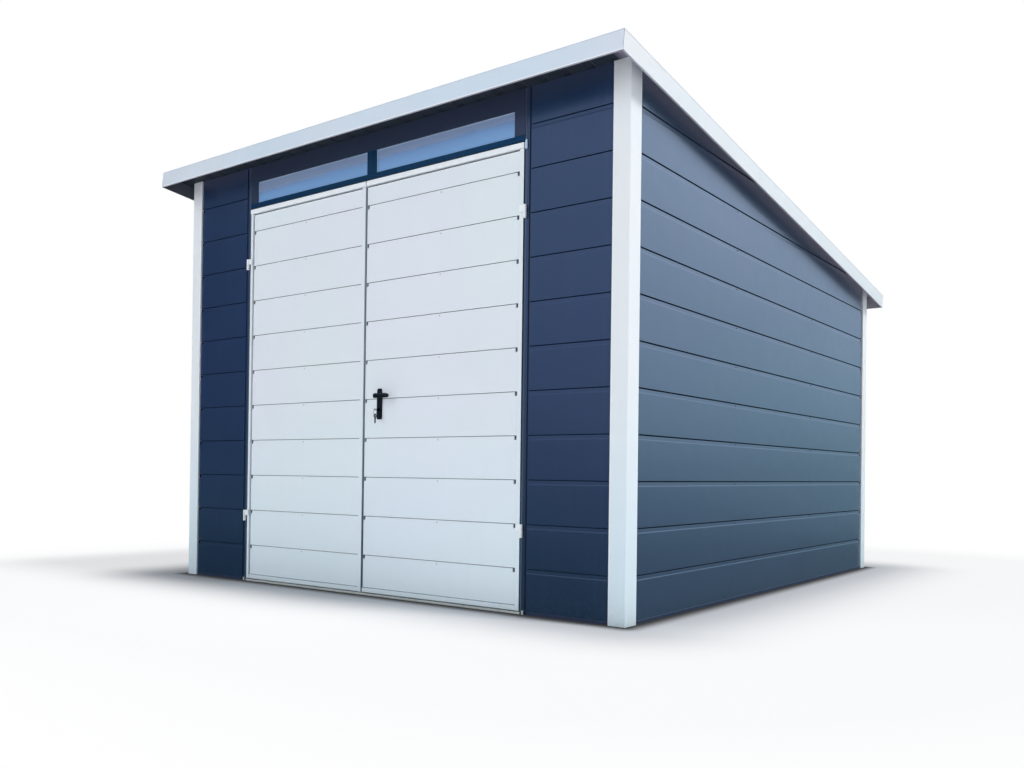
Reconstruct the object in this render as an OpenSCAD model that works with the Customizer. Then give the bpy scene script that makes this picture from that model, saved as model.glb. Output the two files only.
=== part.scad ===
// Metal garage: a sheet-metal box on a steel frame, with a pent roof that falls to the back
// and a pair of outward-opening doors under two fixed transom lights.
// The origin is on the ground, under the middle of the plan. The doors face -Y.

/* [Garage body] */
// Width across the outer faces of the corner posts
body_w = 3040; // [2700:10:3700]
// Depth across the outer faces of the corner posts
body_d = 3410; // [2600:10:4300]
// Height of the roof's underside over the front face
front_h = 2378; // [2320:2:2900]

/* [Corner posts] */
// Width of a corner post on the front and the back
post_w = 84; // [70:1:110]
// Width of a corner post on the sides
post_d = 92; // [75:1:110]
// Sheet thickness of the folded corner posts
post_t = 3; // [1.5:0.5:4]
// Radius of the posts' folded edges
post_r = 5; // [4:0.5:10]

/* [Walls] */
// Thickness of the wall panels
wall_t = 30; // [20:1:40]
// How far the wall panels lie behind the faces of the corner posts
wall_inset = 8; // [4:1:15]
// Height of the base rails under the wall panels
base_h = 14; // [8:1:40]
// How far the base rails stand proud of the wall panels
base_proud = 2; // [0:1:4]

/* [Inner frame] */
// Side of the square frame tubes
tube_w = 40; // [30:1:50]
// Wall thickness of the frame tubes
tube_t = 3; // [2:0.5:4]
// How many purlins lie between the front and the back beam
purlin_count = 3; // [1:1:5]
// How many studs stand between the posts of each side wall and of the back wall
stud_count = 2; // [1:1:4]

/* [Roof] */
// Pitch of the roof, falling to the back, in degrees
roof_pitch = 7; // [3:0.5:10]
// Overhang past the front and the back, to the outer edge of the fascia
roof_over = 180; // [100:5:300]
// Overhang past the sides, to the outer face of the fascia
side_over = 63; // [30:1:150]
// Depth of the roof sheet's ribs
rib_h = 12; // [8:1:25]
// Spacing of the ribs
rib_pitch = 120; // [90:5:200]
// Width of a rib's flat top
rib_top = 28; // [20:1:40]
// Width of a rib's sloping side
rib_slope = 14; // [8:1:20]
// Thickness of the roof sheet
sheet_t = 2; // [1:0.5:3]

/* [Fascia] */
// How far the fascia reaches below the roof's underside
fascia_drop = 76; // [50:1:110]
// Thickness of the folded fascia
fascia_t = 2; // [1:0.5:3]
// Width of the fascia's flange on top of the roof
fascia_top = 50; // [30:1:60]
// Width of the fascia's lower return lip
fascia_lip = 10; // [8:1:25]

/* [Doorway] */
// Clear width between the door posts
door_w = 1948; // [1500:10:2150]
// Height of the door leaves above the ground
door_top = 2132; // [1900:2:2200]
// Width of a door post
jamb_w = 37; // [35:1:60]
// Depth of a door post
jamb_d = 60; // [50:1:80]
// How far the doorway's face lies behind the faces of the corner posts
door_inset = 5; // [2:1:10]
// Clearance around the door leaves
door_gap = 5; // [5:1:8]
// Height of the door sill
sill_h = 10; // [5:1:20]

/* [Transom] */
// Height of the head rail between the doors and the lights
head_h = 28; // [20:1:60]
// Height of the lights
light_h = 118; // [90:1:160]
// Width of the post between the lights
mullion_w = 62; // [40:1:100]
// Width of the strips beside the lights
light_side = 60; // [40:1:100]
// Depth of the transom's members
transom_d = 45; // [35:1:60]
// Thickness of the glass
glass_t = 6; // [4:1:10]
// How far the glass lies behind the transom's face
glass_inset = 10; // [5:1:20]

/* [Door leaves] */
// Where the leaves meet, measured from the middle of the doorway
meeting_x = -35; // [-200:5:200]
// Gap where the leaves meet
meeting_gap = 8; // [7:0.5:10]
// Thickness of a leaf's frame
leaf_t = 40; // [35:1:50]
// Width of a leaf's stiles
stile_w = 24; // [18:1:40]
// Height of a leaf's top rail
top_rail_h = 26; // [18:1:40]
// Height of a leaf's bottom rail
bottom_rail_h = 22; // [18:1:40]
// How far the leaf's panel lies behind its frame
panel_inset = 7; // [4:1:10]
// Thickness of the leaf's panel
panel_t = 28; // [20:1:30]

/* [Hinges] */
// Radius of the hinge barrels
barrel_r = 7; // [6:0.5:9]
// Height of one half of a hinge barrel
barrel_h = 30; // [20:1:40]
// Radius of the hinge pins
pin_r = 4; // [3:0.5:5]
// Distance of the hinge line outside the doorway's clear width
hinge_out = 8; // [6:0.5:12]
// Clearance between a turning barrel and the door post
hinge_gap = 1; // [0.5:0.5:2]
// Height of the lower hinges
hinge_low_z = 375; // [200:5:600]
// Height of the upper hinges
hinge_high_z = 1815; // [1400:5:1860]

/* [Lock and handle] */
// Distance of the handle from the edge of the right leaf
handle_in = 107; // [100:1:200]
// Height of the handle's spindle
handle_z = 1017; // [900:1:1200]
// Distance of the lock cylinder below the spindle
lock_drop = 67; // [60:1:92]
// Width of the handle plates
plate_w = 35; // [20:1:40]
// How far the handle plates reach above the spindle
plate_up = 40; // [30:1:60]
// How far the handle plates reach below the spindle
plate_down = 117; // [110:1:150]
// Thickness of the handle plates
plate_t = 7; // [4:1:12]
// Radius of the lever's neck
neck_r = 10; // [6:0.5:10]
// Distance of the lever from its plate
lever_out = 42; // [40:1:60]
// Length of the lever
lever_l = 86; // [80:1:130]
// Radius of the lever's grip
grip_r = 9; // [5:0.5:9]
// Radius of the spindle
spindle_r = 4; // [3:0.5:5]
// Radius of the lock cylinder
lock_r = 9; // [7:0.5:11]
// How far the lock cylinder stands out of its plate
lock_out = 6; // [3:1:10]

/* [Keys] */
// Radius of a key's bow
bow_r = 11; // [9:0.5:13]
// Thickness of a key
key_t = 2.5; // [2:0.5:3]
// Length of a key's blade
blade_l = 27; // [25:1:40]
// Width of a key's blade
blade_w = 8; // [6:0.5:9]
// Radius of the key ring
ring_r = 11; // [11:0.5:16]
// Thickness of the ring's wire
wire_d = 2; // [1.5:0.5:3]

/* [Hidden] */
$fn = 48;

WHITE = [0.90, 0.92, 0.94];
NAVY = [0.10, 0.14, 0.24];
SLATE = [0.16, 0.18, 0.21];
ZINC = [0.66, 0.68, 0.70];
BLACK = [0.04, 0.04, 0.05];
GLASS = [0.45, 0.58, 0.75, 0.5];

// Cutting bodies reach this far past what they cut
over = 1;
// The roof sheet lies this far above what carries it
roof_seat = 0.05;

half_w = body_w / 2;
half_d = body_d / 2;
front_y = -half_d;
// Faces of the side and end walls, measured from the middle
wall_out_x = half_w - wall_inset;
wall_in_x = wall_out_x - wall_t;
wall_out_y = half_d - wall_inset;
wall_in_y = wall_out_y - wall_t;
post_in_x = half_w - post_w;
post_in_y = half_d - post_d;

// The roof lies in its own frame: its origin is over the front face, +Y runs down the slope
roof_front = (-roof_over + fascia_drop * sin(roof_pitch)) / cos(roof_pitch);
roof_back = (body_d + roof_over - (rib_h + fascia_t) * sin(roof_pitch)) / cos(roof_pitch);
roof_side = half_w + side_over;

half_door = door_w / 2;
jamb_out_x = half_door + jamb_w;
door_y = front_y + door_inset;
head_z = door_top + door_gap;
light_z = head_z + head_h;
light_top = light_z + light_h;

leaf_z = sill_h + door_gap;
leaf_out_x = half_door - door_gap;
left_leaf_in_x = meeting_x - meeting_gap / 2;
right_leaf_in_x = meeting_x + meeting_gap / 2;
panel_y = door_y + panel_inset;
panel_back_y = panel_y + panel_t;

hinge_x = half_door + hinge_out;
hinge_y = door_y - barrel_r - hinge_gap;
HINGE_Z = [hinge_low_z, hinge_high_z];
lug_t = 4;
lug_l = 18;
pin_clearance = 0.05;
pin_end_gap = 1;
barrel_gap = 0.5;
bore_end = 4;

handle_x = right_leaf_in_x + handle_in;
plate_y = panel_y - plate_t;
neck_clearance = 0.05;
neck_end_gap = 0.3;
spindle_clearance = 1;
// How far the spindle reaches into each lever's neck
spindle_end = 1;
lever_return = 12;
back_plate_y = panel_back_y + plate_t;
lock_z = handle_z - lock_drop;
lock_y = plate_y - lock_out;
// Shank between the lock and the key's bow, and how far the ring reaches into each bow
shank_l = 9;
shank_w = 6;
ring_in_bow = 6;
ring_in_hanging_bow = 4;
bow_y = lock_y - bow_r - shank_l;
ring_z = lock_z - bow_r - ring_r + ring_in_bow;
hanging_z = ring_z - ring_r - bow_r + ring_in_hanging_bow;

// Height of the roof's underside at a place in the depth
function roof_z(y) = front_h - tan(roof_pitch) * (y - front_y);

// A rectangle with round corners, of true arcs
module rounded_rect(w, d, r) {
    translate([r, 0]) square([w - 2 * r, d]);
    translate([0, r]) square([w, d - 2 * r]);
    for (x = [r, w - r])
        for (y = [r, d - r])
            translate([x, y]) circle(r);
}

// A prism whose top and bottom follow the roof, each that far below its underside
module roof_prism(x0, x1, y0, y1, top_drop, bottom_drop) {
    translate([x0, 0, 0])
        rotate([90, 0, 90])
            linear_extrude(x1 - x0)
                polygon([
                    [y0, roof_z(y0) - bottom_drop], [y1, roof_z(y1) - bottom_drop],
                    [y1, roof_z(y1) - top_drop], [y0, roof_z(y0) - top_drop]
                ]);
}

// A prism from a level bottom up to that far below the roof's underside
module under_roof(x0, x1, y0, y1, z0, drop = 0) {
    translate([x0, 0, 0])
        rotate([90, 0, 90])
            linear_extrude(x1 - x0)
                polygon([
                    [y0, z0], [y1, z0],
                    [y1, roof_z(y1) - drop], [y0, roof_z(y0) - drop]
                ]);
}

// A square tube under the roof that runs across the garage
module cross_tube(y0, x_end) {
    difference() {
        roof_prism(-x_end, x_end, y0, y0 + tube_w, 0, tube_w);
        roof_prism(-x_end - over, x_end + over,
                   y0 + tube_t, y0 + tube_w - tube_t, tube_t, tube_w - tube_t);
    }
}

// A square tube under the roof that runs down the slope
module slope_tube(x0) {
    difference() {
        roof_prism(x0, x0 + tube_w, -post_in_y, post_in_y, 0, tube_w);
        roof_prism(x0 + tube_t, x0 + tube_w - tube_t, -half_d, half_d, tube_t, tube_w - tube_t);
    }
}

// Places its children in the roof's own frame
module on_roof() {
    translate([0, front_y, front_h + roof_seat]) rotate([-roof_pitch, 0, 0]) children();
}

// Base rails under the walls, between the posts
module base_rails() {
    color(NAVY) {
        rail_d = wall_t + base_proud;
        rail_l = 2 * post_in_y;
        for (side = [-1, 1])
            scale([side, 1, 1])
                translate([wall_in_x, -post_in_y, 0]) cube([rail_d, rail_l, base_h]);
        translate([-post_in_x, wall_in_y, 0]) cube([2 * post_in_x, rail_d, base_h]);
        front_l = post_in_x - jamb_out_x;
        for (x = [-post_in_x, jamb_out_x])
            translate([x, -wall_in_y - rail_d, 0]) cube([front_l, rail_d, base_h]);
    }
}

// Flat sill under the doors
module door_sill() {
    color(ZINC)
        translate([-half_door, door_y, 0]) cube([door_w, jamb_d, sill_h]);
}

// Folded corner post, a hollow box that ends under the roof
module corner_post(x_side, y_side) {
    x0 = x_side > 0 ? post_in_x : -half_w;
    y0 = y_side > 0 ? post_in_y : -half_d;
    color(WHITE)
        intersection() {
            difference() {
                translate([x0, y0, 0])
                    linear_extrude(front_h + over) rounded_rect(post_w, post_d, post_r);
                translate([x0 + post_t, y0 + post_t, -over])
                    cube([post_w - 2 * post_t, post_d - 2 * post_t, front_h + 3 * over]);
            }
            under_roof(x0 - over, x0 + post_w + over, y0 - over, y0 + post_d + over, -over);
        }
}
module corner_post_front_left() { corner_post(-1, -1); }
module corner_post_front_right() { corner_post(1, -1); }
module corner_post_back_left() { corner_post(-1, 1); }
module corner_post_back_right() { corner_post(1, 1); }

// Front walls, on both sides of the doorway
module front_wall(x0) {
    color(NAVY)
        under_roof(x0, x0 + post_in_x - jamb_out_x, -wall_out_y, -wall_in_y, base_h);
}
module front_wall_left() { front_wall(-post_in_x); }
module front_wall_right() { front_wall(jamb_out_x); }

// Side walls, which follow the roof
module side_wall(x0) {
    color(NAVY) under_roof(x0, x0 + wall_t, -post_in_y, post_in_y, base_h);
}
module left_wall() { side_wall(-wall_out_x); }
module right_wall() { side_wall(wall_in_x); }

module back_wall() {
    color(NAVY) under_roof(-post_in_x, post_in_x, wall_in_y, wall_out_y, base_h);
}

// Door posts, of rectangular tube
module door_post(x0) {
    color(NAVY)
        difference() {
            under_roof(x0, x0 + jamb_w, door_y, door_y + jamb_d, 0);
            translate([x0 + tube_t, door_y + tube_t, -over])
                cube([jamb_w - 2 * tube_t, jamb_d - 2 * tube_t, front_h + 2 * over]);
        }
}
module door_post_left() { door_post(-jamb_out_x); }
module door_post_right() { door_post(half_door); }

// Head rail over the doors
module door_head() {
    color(NAVY)
        translate([-half_door, door_y, head_z])
            difference() {
                cube([door_w, jamb_d, head_h]);
                translate([-over, tube_t, tube_t])
                    cube([door_w + 2 * over, jamb_d - 2 * tube_t, head_h - 2 * tube_t]);
            }
}

module transom_mullion() {
    color(NAVY)
        translate([-mullion_w / 2, door_y, light_z]) cube([mullion_w, transom_d, light_h]);
}

module transom_stiles() {
    color(NAVY)
        for (x = [-half_door, half_door - light_side])
            translate([x, door_y, light_z]) cube([light_side, transom_d, light_h]);
}

// Closing panel between the lights and the roof
module transom_panel() {
    color(NAVY) under_roof(-half_door, half_door, door_y, door_y + transom_d, light_top);
}

module transom_glass(x0) {
    color(GLASS)
        translate([x0, door_y + glass_inset, light_z])
            cube([half_door - light_side - mullion_w / 2, glass_t, light_h]);
}
module transom_glass_left() { transom_glass(-half_door + light_side); }
module transom_glass_right() { transom_glass(mullion_w / 2); }

// Evenly spaced studs in the side and back walls, up to the tubes under the roof
module wall_studs() {
    color(ZINC)
        for (i = [1:stud_count]) {
            share = i / (stud_count + 1) - 1 / 2;
            y0 = body_d * share - tube_w / 2;
            for (x = [-wall_in_x, wall_in_x - tube_w])
                under_roof(x, x + tube_w, y0, y0 + tube_w, 0, tube_w);
            x0 = body_w * share - tube_w / 2;
            under_roof(x0, x0 + tube_w, wall_in_y - tube_w, wall_in_y, 0, tube_w);
        }
}

module rafters() {
    color(ZINC)
        for (x = [-wall_in_x, wall_in_x - tube_w])
            slope_tube(x);
}

module front_beam() {
    color(ZINC) cross_tube(door_y + jamb_d, post_in_x);
}

module back_beam() {
    color(ZINC) cross_tube(wall_in_y - tube_w, post_in_x);
}

module purlins() {
    first = door_y + jamb_d;
    last = wall_in_y - tube_w;
    color(ZINC)
        for (i = [1:purlin_count])
            cross_tube(first + (last - first) * i / (purlin_count + 1), wall_in_x - tube_w);
}

// Ribbed roof sheet: its outline is worked out along the width, and it runs down the slope
module roof_sheet() {
    width = 2 * (roof_side - fascia_t);
    rib_w = rib_top + 2 * rib_slope;
    count = floor((width - rib_w) / rib_pitch);
    start = -((count - 1) * rib_pitch + rib_w) / 2;
    top = concat(
        [[-width / 2, sheet_t]],
        [for (i = [0:count - 1])
            for (p = [[0, sheet_t], [rib_slope, rib_h], [rib_slope + rib_top, rib_h], [rib_w, sheet_t]])
                [start + i * rib_pitch + p[0], p[1]]],
        [[width / 2, sheet_t]]
    );
    bottom = [for (i = [len(top) - 1:-1:0]) [top[i][0], top[i][1] - sheet_t]];
    color(SLATE)
        on_roof()
            translate([0, roof_back - fascia_t, 0])
                rotate([90, 0, 0])
                    linear_extrude(roof_back - roof_front - 2 * fascia_t)
                        polygon(concat(top, bottom));
}

// Section of the folded fascia: its outer face is at 0 and it reaches inwards
module fascia_section() {
    rise = rib_h + fascia_t;
    polygon([
        [0, -fascia_drop], [fascia_lip, -fascia_drop], [fascia_lip, fascia_t - fascia_drop],
        [fascia_t, fascia_t - fascia_drop], [fascia_t, rib_h], [fascia_top, rib_h],
        [fascia_top, rise], [0, rise]
    ]);
}

// A length of fascia along X, centred, with its ends mitred
module fascia_length(length) {
    depth = fascia_top + over;
    intersection() {
        translate([-length / 2, 0, 0])
            rotate([90, 0, 90])
                linear_extrude(length) fascia_section();
        translate([0, 0, -fascia_drop - over])
            linear_extrude(fascia_drop + rib_h + fascia_t + 2 * over)
                polygon([
                    [-length / 2, 0], [length / 2, 0],
                    [length / 2 - depth, depth], [depth - length / 2, depth]
                ]);
    }
}

module fascia_front() {
    color(WHITE) on_roof() translate([0, roof_front, 0]) fascia_length(2 * roof_side);
}
module fascia_back() {
    color(WHITE)
        on_roof() translate([0, roof_back, 0]) rotate([0, 0, 180]) fascia_length(2 * roof_side);
}
module fascia_side(side) {
    color(WHITE)
        on_roof()
            translate([side * roof_side, (roof_front + roof_back) / 2, 0])
                rotate([0, 0, side * 90]) fascia_length(roof_back - roof_front);
}
module fascia_left() { fascia_side(-1); }
module fascia_right() { fascia_side(1); }

// Fixed halves of the hinges: a barrel with its pin, on a pad welded to the door post
module frame_hinges(side) {
    color(WHITE)
        for (z = HINGE_Z)
            translate([side * hinge_x, hinge_y, z]) {
                translate([0, 0, -barrel_h]) cylinder(h = barrel_h, r = barrel_r);
                cylinder(h = barrel_h - bore_end - pin_end_gap, r = pin_r);
                translate([-pin_r, 0, -barrel_h]) cube([2 * pin_r, barrel_r + hinge_gap, barrel_h]);
            }
}
module frame_hinges_left() { frame_hinges(-1); }
module frame_hinges_right() { frame_hinges(1); }

// Turning halves of the hinges: a barrel with a blind bore, on a lug welded to the leaf's face
module leaf_hinges(side) {
    reach = hinge_x - leaf_out_x;
    web_d = barrel_r + hinge_gap - lug_t;
    color(WHITE)
        for (z = HINGE_Z)
            translate([side * hinge_x, hinge_y, z + barrel_gap])
                difference() {
                    union() {
                        cylinder(h = barrel_h, r = barrel_r);
                        scale([-side, 1, 1]) {
                            cube([reach + lug_l, web_d, barrel_h]);
                            translate([reach, 0, 0])
                                cube([lug_l, barrel_r + hinge_gap, barrel_h]);
                        }
                    }
                    translate([0, 0, -over])
                        cylinder(h = barrel_h - bore_end + over, r = pin_r + pin_clearance);
                }
}
module left_leaf_hinges() { leaf_hinges(-1); }
module right_leaf_hinges() { leaf_hinges(1); }

// The two stiles of a leaf that reaches from x0 to x1
module leaf_stiles(x0, x1) {
    color(WHITE)
        for (x = [x0, x1 - stile_w])
            translate([x, door_y, leaf_z]) cube([stile_w, leaf_t, door_top - leaf_z]);
}
module left_leaf_stiles() { leaf_stiles(-leaf_out_x, left_leaf_in_x); }
module right_leaf_stiles() { leaf_stiles(right_leaf_in_x, leaf_out_x); }

// The top and bottom rail of a leaf, between its stiles
module leaf_rails(x0, x1) {
    width = x1 - x0 - 2 * stile_w;
    color(WHITE) {
        translate([x0 + stile_w, door_y, leaf_z]) cube([width, leaf_t, bottom_rail_h]);
        translate([x0 + stile_w, door_y, door_top - top_rail_h]) cube([width, leaf_t, top_rail_h]);
    }
}
module left_leaf_rails() { leaf_rails(-leaf_out_x, left_leaf_in_x); }
module right_leaf_rails() { leaf_rails(right_leaf_in_x, leaf_out_x); }

// The panel that fills a leaf's frame
module leaf_panel(x0, x1) {
    z0 = leaf_z + bottom_rail_h;
    color(WHITE)
        translate([x0 + stile_w, panel_y, z0])
            cube([x1 - x0 - 2 * stile_w, panel_t, door_top - top_rail_h - z0]);
}
module left_leaf_panel() { leaf_panel(-leaf_out_x, left_leaf_in_x); }
module right_leaf_panel() {
    color(WHITE)
        difference() {
            leaf_panel(right_leaf_in_x, leaf_out_x);
            translate([handle_x, panel_y - over, handle_z])
                rotate([-90, 0, 0])
                    cylinder(h = panel_t + 2 * over, r = spindle_r + spindle_clearance);
        }
}

// Long plates under the levers, outside and inside
module handle_plates() {
    color(BLACK)
        for (y = [plate_y, panel_back_y])
            difference() {
                translate([handle_x - plate_w / 2, y + plate_t, handle_z - plate_down])
                    rotate([90, 0, 0])
                        linear_extrude(plate_t)
                            rounded_rect(plate_w, plate_up + plate_down, plate_w / 4);
                translate([handle_x, y - over, handle_z])
                    rotate([-90, 0, 0])
                        cylinder(h = plate_t + 2 * over, r = neck_r + neck_clearance);
            }
}

// One lever: neck, grip and a tip that turns back towards the door. It reaches out along -Y
module lever() {
    translate([0, -neck_end_gap, 0])
        rotate([90, 0, 0]) cylinder(h = lever_out + plate_t - neck_end_gap, r = neck_r);
    translate([0, -lever_out - plate_t, 0]) {
        sphere(r = neck_r);
        rotate([0, 90, 0]) cylinder(h = lever_l - grip_r, r = grip_r);
        translate([lever_l - grip_r, 0, 0]) {
            sphere(r = grip_r);
            rotate([-90, 0, 0]) cylinder(h = lever_return, r = grip_r);
        }
    }
}

// Both levers on their common spindle
module lever_handle() {
    color(BLACK)
        translate([handle_x, 0, handle_z]) {
            translate([0, panel_y, 0]) lever();
            translate([0, panel_back_y, 0]) scale([1, -1, 1]) lever();
            translate([0, panel_y - spindle_end, 0])
                rotate([-90, 0, 0]) cylinder(h = panel_t + 2 * spindle_end, r = spindle_r);
        }
}

// Ends of the lock cylinder, on the faces of the two plates
module lock_cylinder() {
    color(ZINC)
        translate([handle_x, 0, lock_z]) {
            translate([0, plate_y, 0])
                rotate([90, 0, 0]) cylinder(h = lock_out, r = lock_r);
            translate([0, back_plate_y, 0])
                rotate([-90, 0, 0]) cylinder(h = lock_out, r = lock_r);
        }
}

// The key in the lock, with a second key hanging from its ring
module keys() {
    color(ZINC)
        translate([handle_x, 0, lock_z]) {
            translate([-key_t / 2, bow_y, 0])
                rotate([0, 90, 0]) cylinder(h = key_t, r = bow_r);
            translate([-key_t / 2, bow_y, -shank_w / 2])
                cube([key_t, lock_y - bow_y, shank_w]);
            translate([0, bow_y, ring_z - lock_z])
                rotate([90, 0, 0])
                    rotate_extrude() translate([ring_r, 0]) circle(r = wire_d / 2);
            translate([-key_t / 2, bow_y, hanging_z - lock_z]) {
                rotate([0, 90, 0]) cylinder(h = key_t, r = bow_r);
                translate([0, -blade_w / 2, -bow_r - blade_l])
                    cube([key_t, blade_w, blade_l + bow_r]);
            }
        }
}

base_rails();
door_sill();
corner_post_front_left();
corner_post_front_right();
corner_post_back_left();
corner_post_back_right();
front_wall_left();
front_wall_right();
left_wall();
right_wall();
back_wall();
door_post_left();
door_post_right();
door_head();
transom_mullion();
transom_stiles();
transom_panel();
transom_glass_left();
transom_glass_right();
wall_studs();
rafters();
front_beam();
back_beam();
purlins();
roof_sheet();
fascia_front();
fascia_back();
fascia_left();
fascia_right();
frame_hinges_left();
frame_hinges_right();
left_leaf_stiles();
left_leaf_rails();
left_leaf_panel();
left_leaf_hinges();
right_leaf_stiles();
right_leaf_rails();
right_leaf_panel();
right_leaf_hinges();
handle_plates();
lever_handle();
lock_cylinder();
keys();
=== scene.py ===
# %% [markdown]
# # A small metal garage
# The building is a box of navy cladding courses between white folded corner posts, under a pent
# roof with a white fascia. Two white leaves hang in the front, under a pair of narrow lights.
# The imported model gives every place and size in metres, with the ground at zero and the doors
# towards -Y. This lesson loads it, sets up a plain studio round it, mixes the finishes, and then
# builds each visible piece in mesh code where the plain solid lacks the real one's folds.

# %% Load the model
import math

import bmesh
import bpy
from mathutils import Matrix, Vector


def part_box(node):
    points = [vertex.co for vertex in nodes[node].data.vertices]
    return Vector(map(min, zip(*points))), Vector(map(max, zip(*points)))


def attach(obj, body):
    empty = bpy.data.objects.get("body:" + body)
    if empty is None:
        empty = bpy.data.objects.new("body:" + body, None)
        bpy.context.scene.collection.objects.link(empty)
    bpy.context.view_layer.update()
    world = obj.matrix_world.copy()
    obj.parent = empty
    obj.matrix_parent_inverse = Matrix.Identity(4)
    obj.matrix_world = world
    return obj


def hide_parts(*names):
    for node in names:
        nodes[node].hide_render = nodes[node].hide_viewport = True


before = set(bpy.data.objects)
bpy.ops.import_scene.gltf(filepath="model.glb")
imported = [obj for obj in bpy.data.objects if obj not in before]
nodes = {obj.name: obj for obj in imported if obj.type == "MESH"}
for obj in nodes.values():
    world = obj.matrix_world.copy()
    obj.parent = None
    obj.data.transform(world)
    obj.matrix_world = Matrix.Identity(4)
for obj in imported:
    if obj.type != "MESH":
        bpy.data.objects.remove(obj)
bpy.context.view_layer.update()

scene = bpy.context.scene

# %% Main places
MM = 0.001
post_low, post_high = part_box("corner_post_front_right")
FRONT_Y = post_low.y
ROOF_Z = post_high.z
PITCH = math.radians(7)
UP_SLOPE = Vector((0, -math.cos(PITCH), math.sin(PITCH)))
OFF_ROOF = Vector((0, math.sin(PITCH), math.cos(PITCH)))
ROOF_START = Vector((0, FRONT_Y, ROOF_Z))
OVERLONG = 0.01
EAVES_CUT = [(ROOF_START, OFF_ROOF)]
print("roof starts at height", round(ROOF_Z, 3), "over the front face", round(FRONT_Y, 3))

# %% [markdown]
# ## Camera
# Somebody stands a few steps off the right front corner and holds the camera low, so the near
# post towers over the rest. The lens is a moderate wide angle, and a small vertical shift
# raises the view without tilting the camera, so the posts stay nearly upright.

# %% Camera
cam_data = bpy.data.cameras.new("camera")
cam_data.lens = 32.66
cam_data.sensor_width = 36
cam_data.shift_y = 0.0809
cam_data.clip_end = 300
camera = bpy.data.objects.new("camera", cam_data)
scene.collection.objects.link(camera)
scene.camera = camera

STANDPOINT = (3.433, -5.085, 0.635)
yaw = math.radians(36.56)
lift = math.radians(0.39)
lean = math.radians(0.72)
ahead = Vector((-math.sin(yaw) * math.cos(lift), math.cos(yaw) * math.cos(lift), math.sin(lift)))
level = Vector((math.cos(yaw), math.sin(yaw), 0))
above = level.cross(ahead)
right = math.cos(lean) * level + math.sin(lean) * above
turn = Matrix((right, ahead.cross(right) * -1, -ahead)).transposed()
camera.matrix_world = Matrix.Translation(STANDPOINT) @ turn.to_4x4()
print("camera at", [round(c, 3) for c in camera.location])

# %% [markdown]
# ## Light
# The day is bright and hazy: a sun high on the right, soft at its edge, and a paler sky from
# the front left. Two sun lamps with wide angles do that with no falloff across the building,
# and the world fills in the rest. The sun stands a little behind the front, so the doors are
# lit by the sky alone, as on the real one. The sky lamp is too soft to make a highlight, so it
# is left out of mirrored rays.

# %% Lamps
def sun(name, towards, strength, width, colour, shine=True):
    data = bpy.data.lights.new(name, "SUN")
    data.energy = strength
    data.angle = math.radians(width)
    data.color = colour
    lamp = bpy.data.objects.new(name, data)
    lamp.rotation_mode = "QUATERNION"
    lamp.rotation_quaternion = Vector(towards).to_track_quat("Z", "Y")
    lamp.visible_glossy = shine
    scene.collection.objects.link(lamp)
    print(name, "strength", strength, "angle", width)


sun("haze_sun", (0.53, 0.10, 0.85), 2.7, 13, (1.0, 0.985, 0.96))
sun("front_sky", (-0.42, -0.85, 0.38), 1.12, 50, (0.95, 0.98, 1.0), shine=False)

# %% [markdown]
# ## Node tools
# A material is a small network. One helper fills a socket: another socket is linked to it, and
# a number or colour is written in. A second adds a node, sets its properties and fills its
# inputs. That keeps each finish short enough to read.

# %% Node helpers
def feed(tree, socket, value):
    """Links a socket to another, or writes a value in it. A colour gets its missing alpha."""
    if isinstance(value, bpy.types.NodeSocket):
        tree.links.new(value, socket)
    elif isinstance(value, tuple) and len(value) < len(socket.default_value):
        socket.default_value = (*value, 1)
    else:
        socket.default_value = value


def add(tree, kind, inputs=None, **settings):
    node = tree.nodes.new("ShaderNode" + kind)
    for name, value in settings.items():
        setattr(node, name, value)
    for socket, value in (inputs or {}).items():
        feed(tree, node.inputs[socket], value)
    return node


def maths(tree, operation, first, second=0.0, third=0.0):
    return add(tree, "Math", {0: first, 1: second, 2: third}, operation=operation).outputs[0]


def times(tree, first, second):
    return maths(tree, "MULTIPLY", first, second)


def times_plus(tree, first, second, third):
    return maths(tree, "MULTIPLY_ADD", first, second, third)


def vectors(tree, operation, first, second, out=0):
    return add(tree, "VectorMath", {0: first, 1: second}, operation=operation).outputs[out]


def ramp(tree, value, low, high, to_low=0.0, to_high=1.0):
    """Maps low..high to to_low..to_high with soft ends."""
    fields = {"Value": value, "From Min": low, "From Max": high, "To Min": to_low, "To Max": to_high}
    return add(tree, "MapRange", fields, interpolation_type="SMOOTHSTEP").outputs[0]


def tint(tree, factor, first, second, kind="MIX"):
    colours = {0: factor, 6: first, 7: second}
    return add(tree, "Mix", colours, data_type="RGBA", blend_type=kind, clamp_factor=True).outputs[2]


# %% Places and patterns
def own_place(tree):
    """The point's own place in metres. It moves with the piece."""
    return add(tree, "TexCoord").outputs["Object"]


def along(tree, vector, axis):
    return add(tree, "SeparateXYZ", {0: vector}).outputs[axis]


def noise(tree, vector, scale, detail=3.0, rough=0.55):
    fields = {"Vector": vector, "Scale": scale, "Detail": detail, "Roughness": rough}
    return add(tree, "TexNoise", fields).outputs["Fac"]


def stretched(tree, vector, scale):
    return add(tree, "Mapping", {"Vector": vector, "Scale": scale}).outputs["Vector"]


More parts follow.
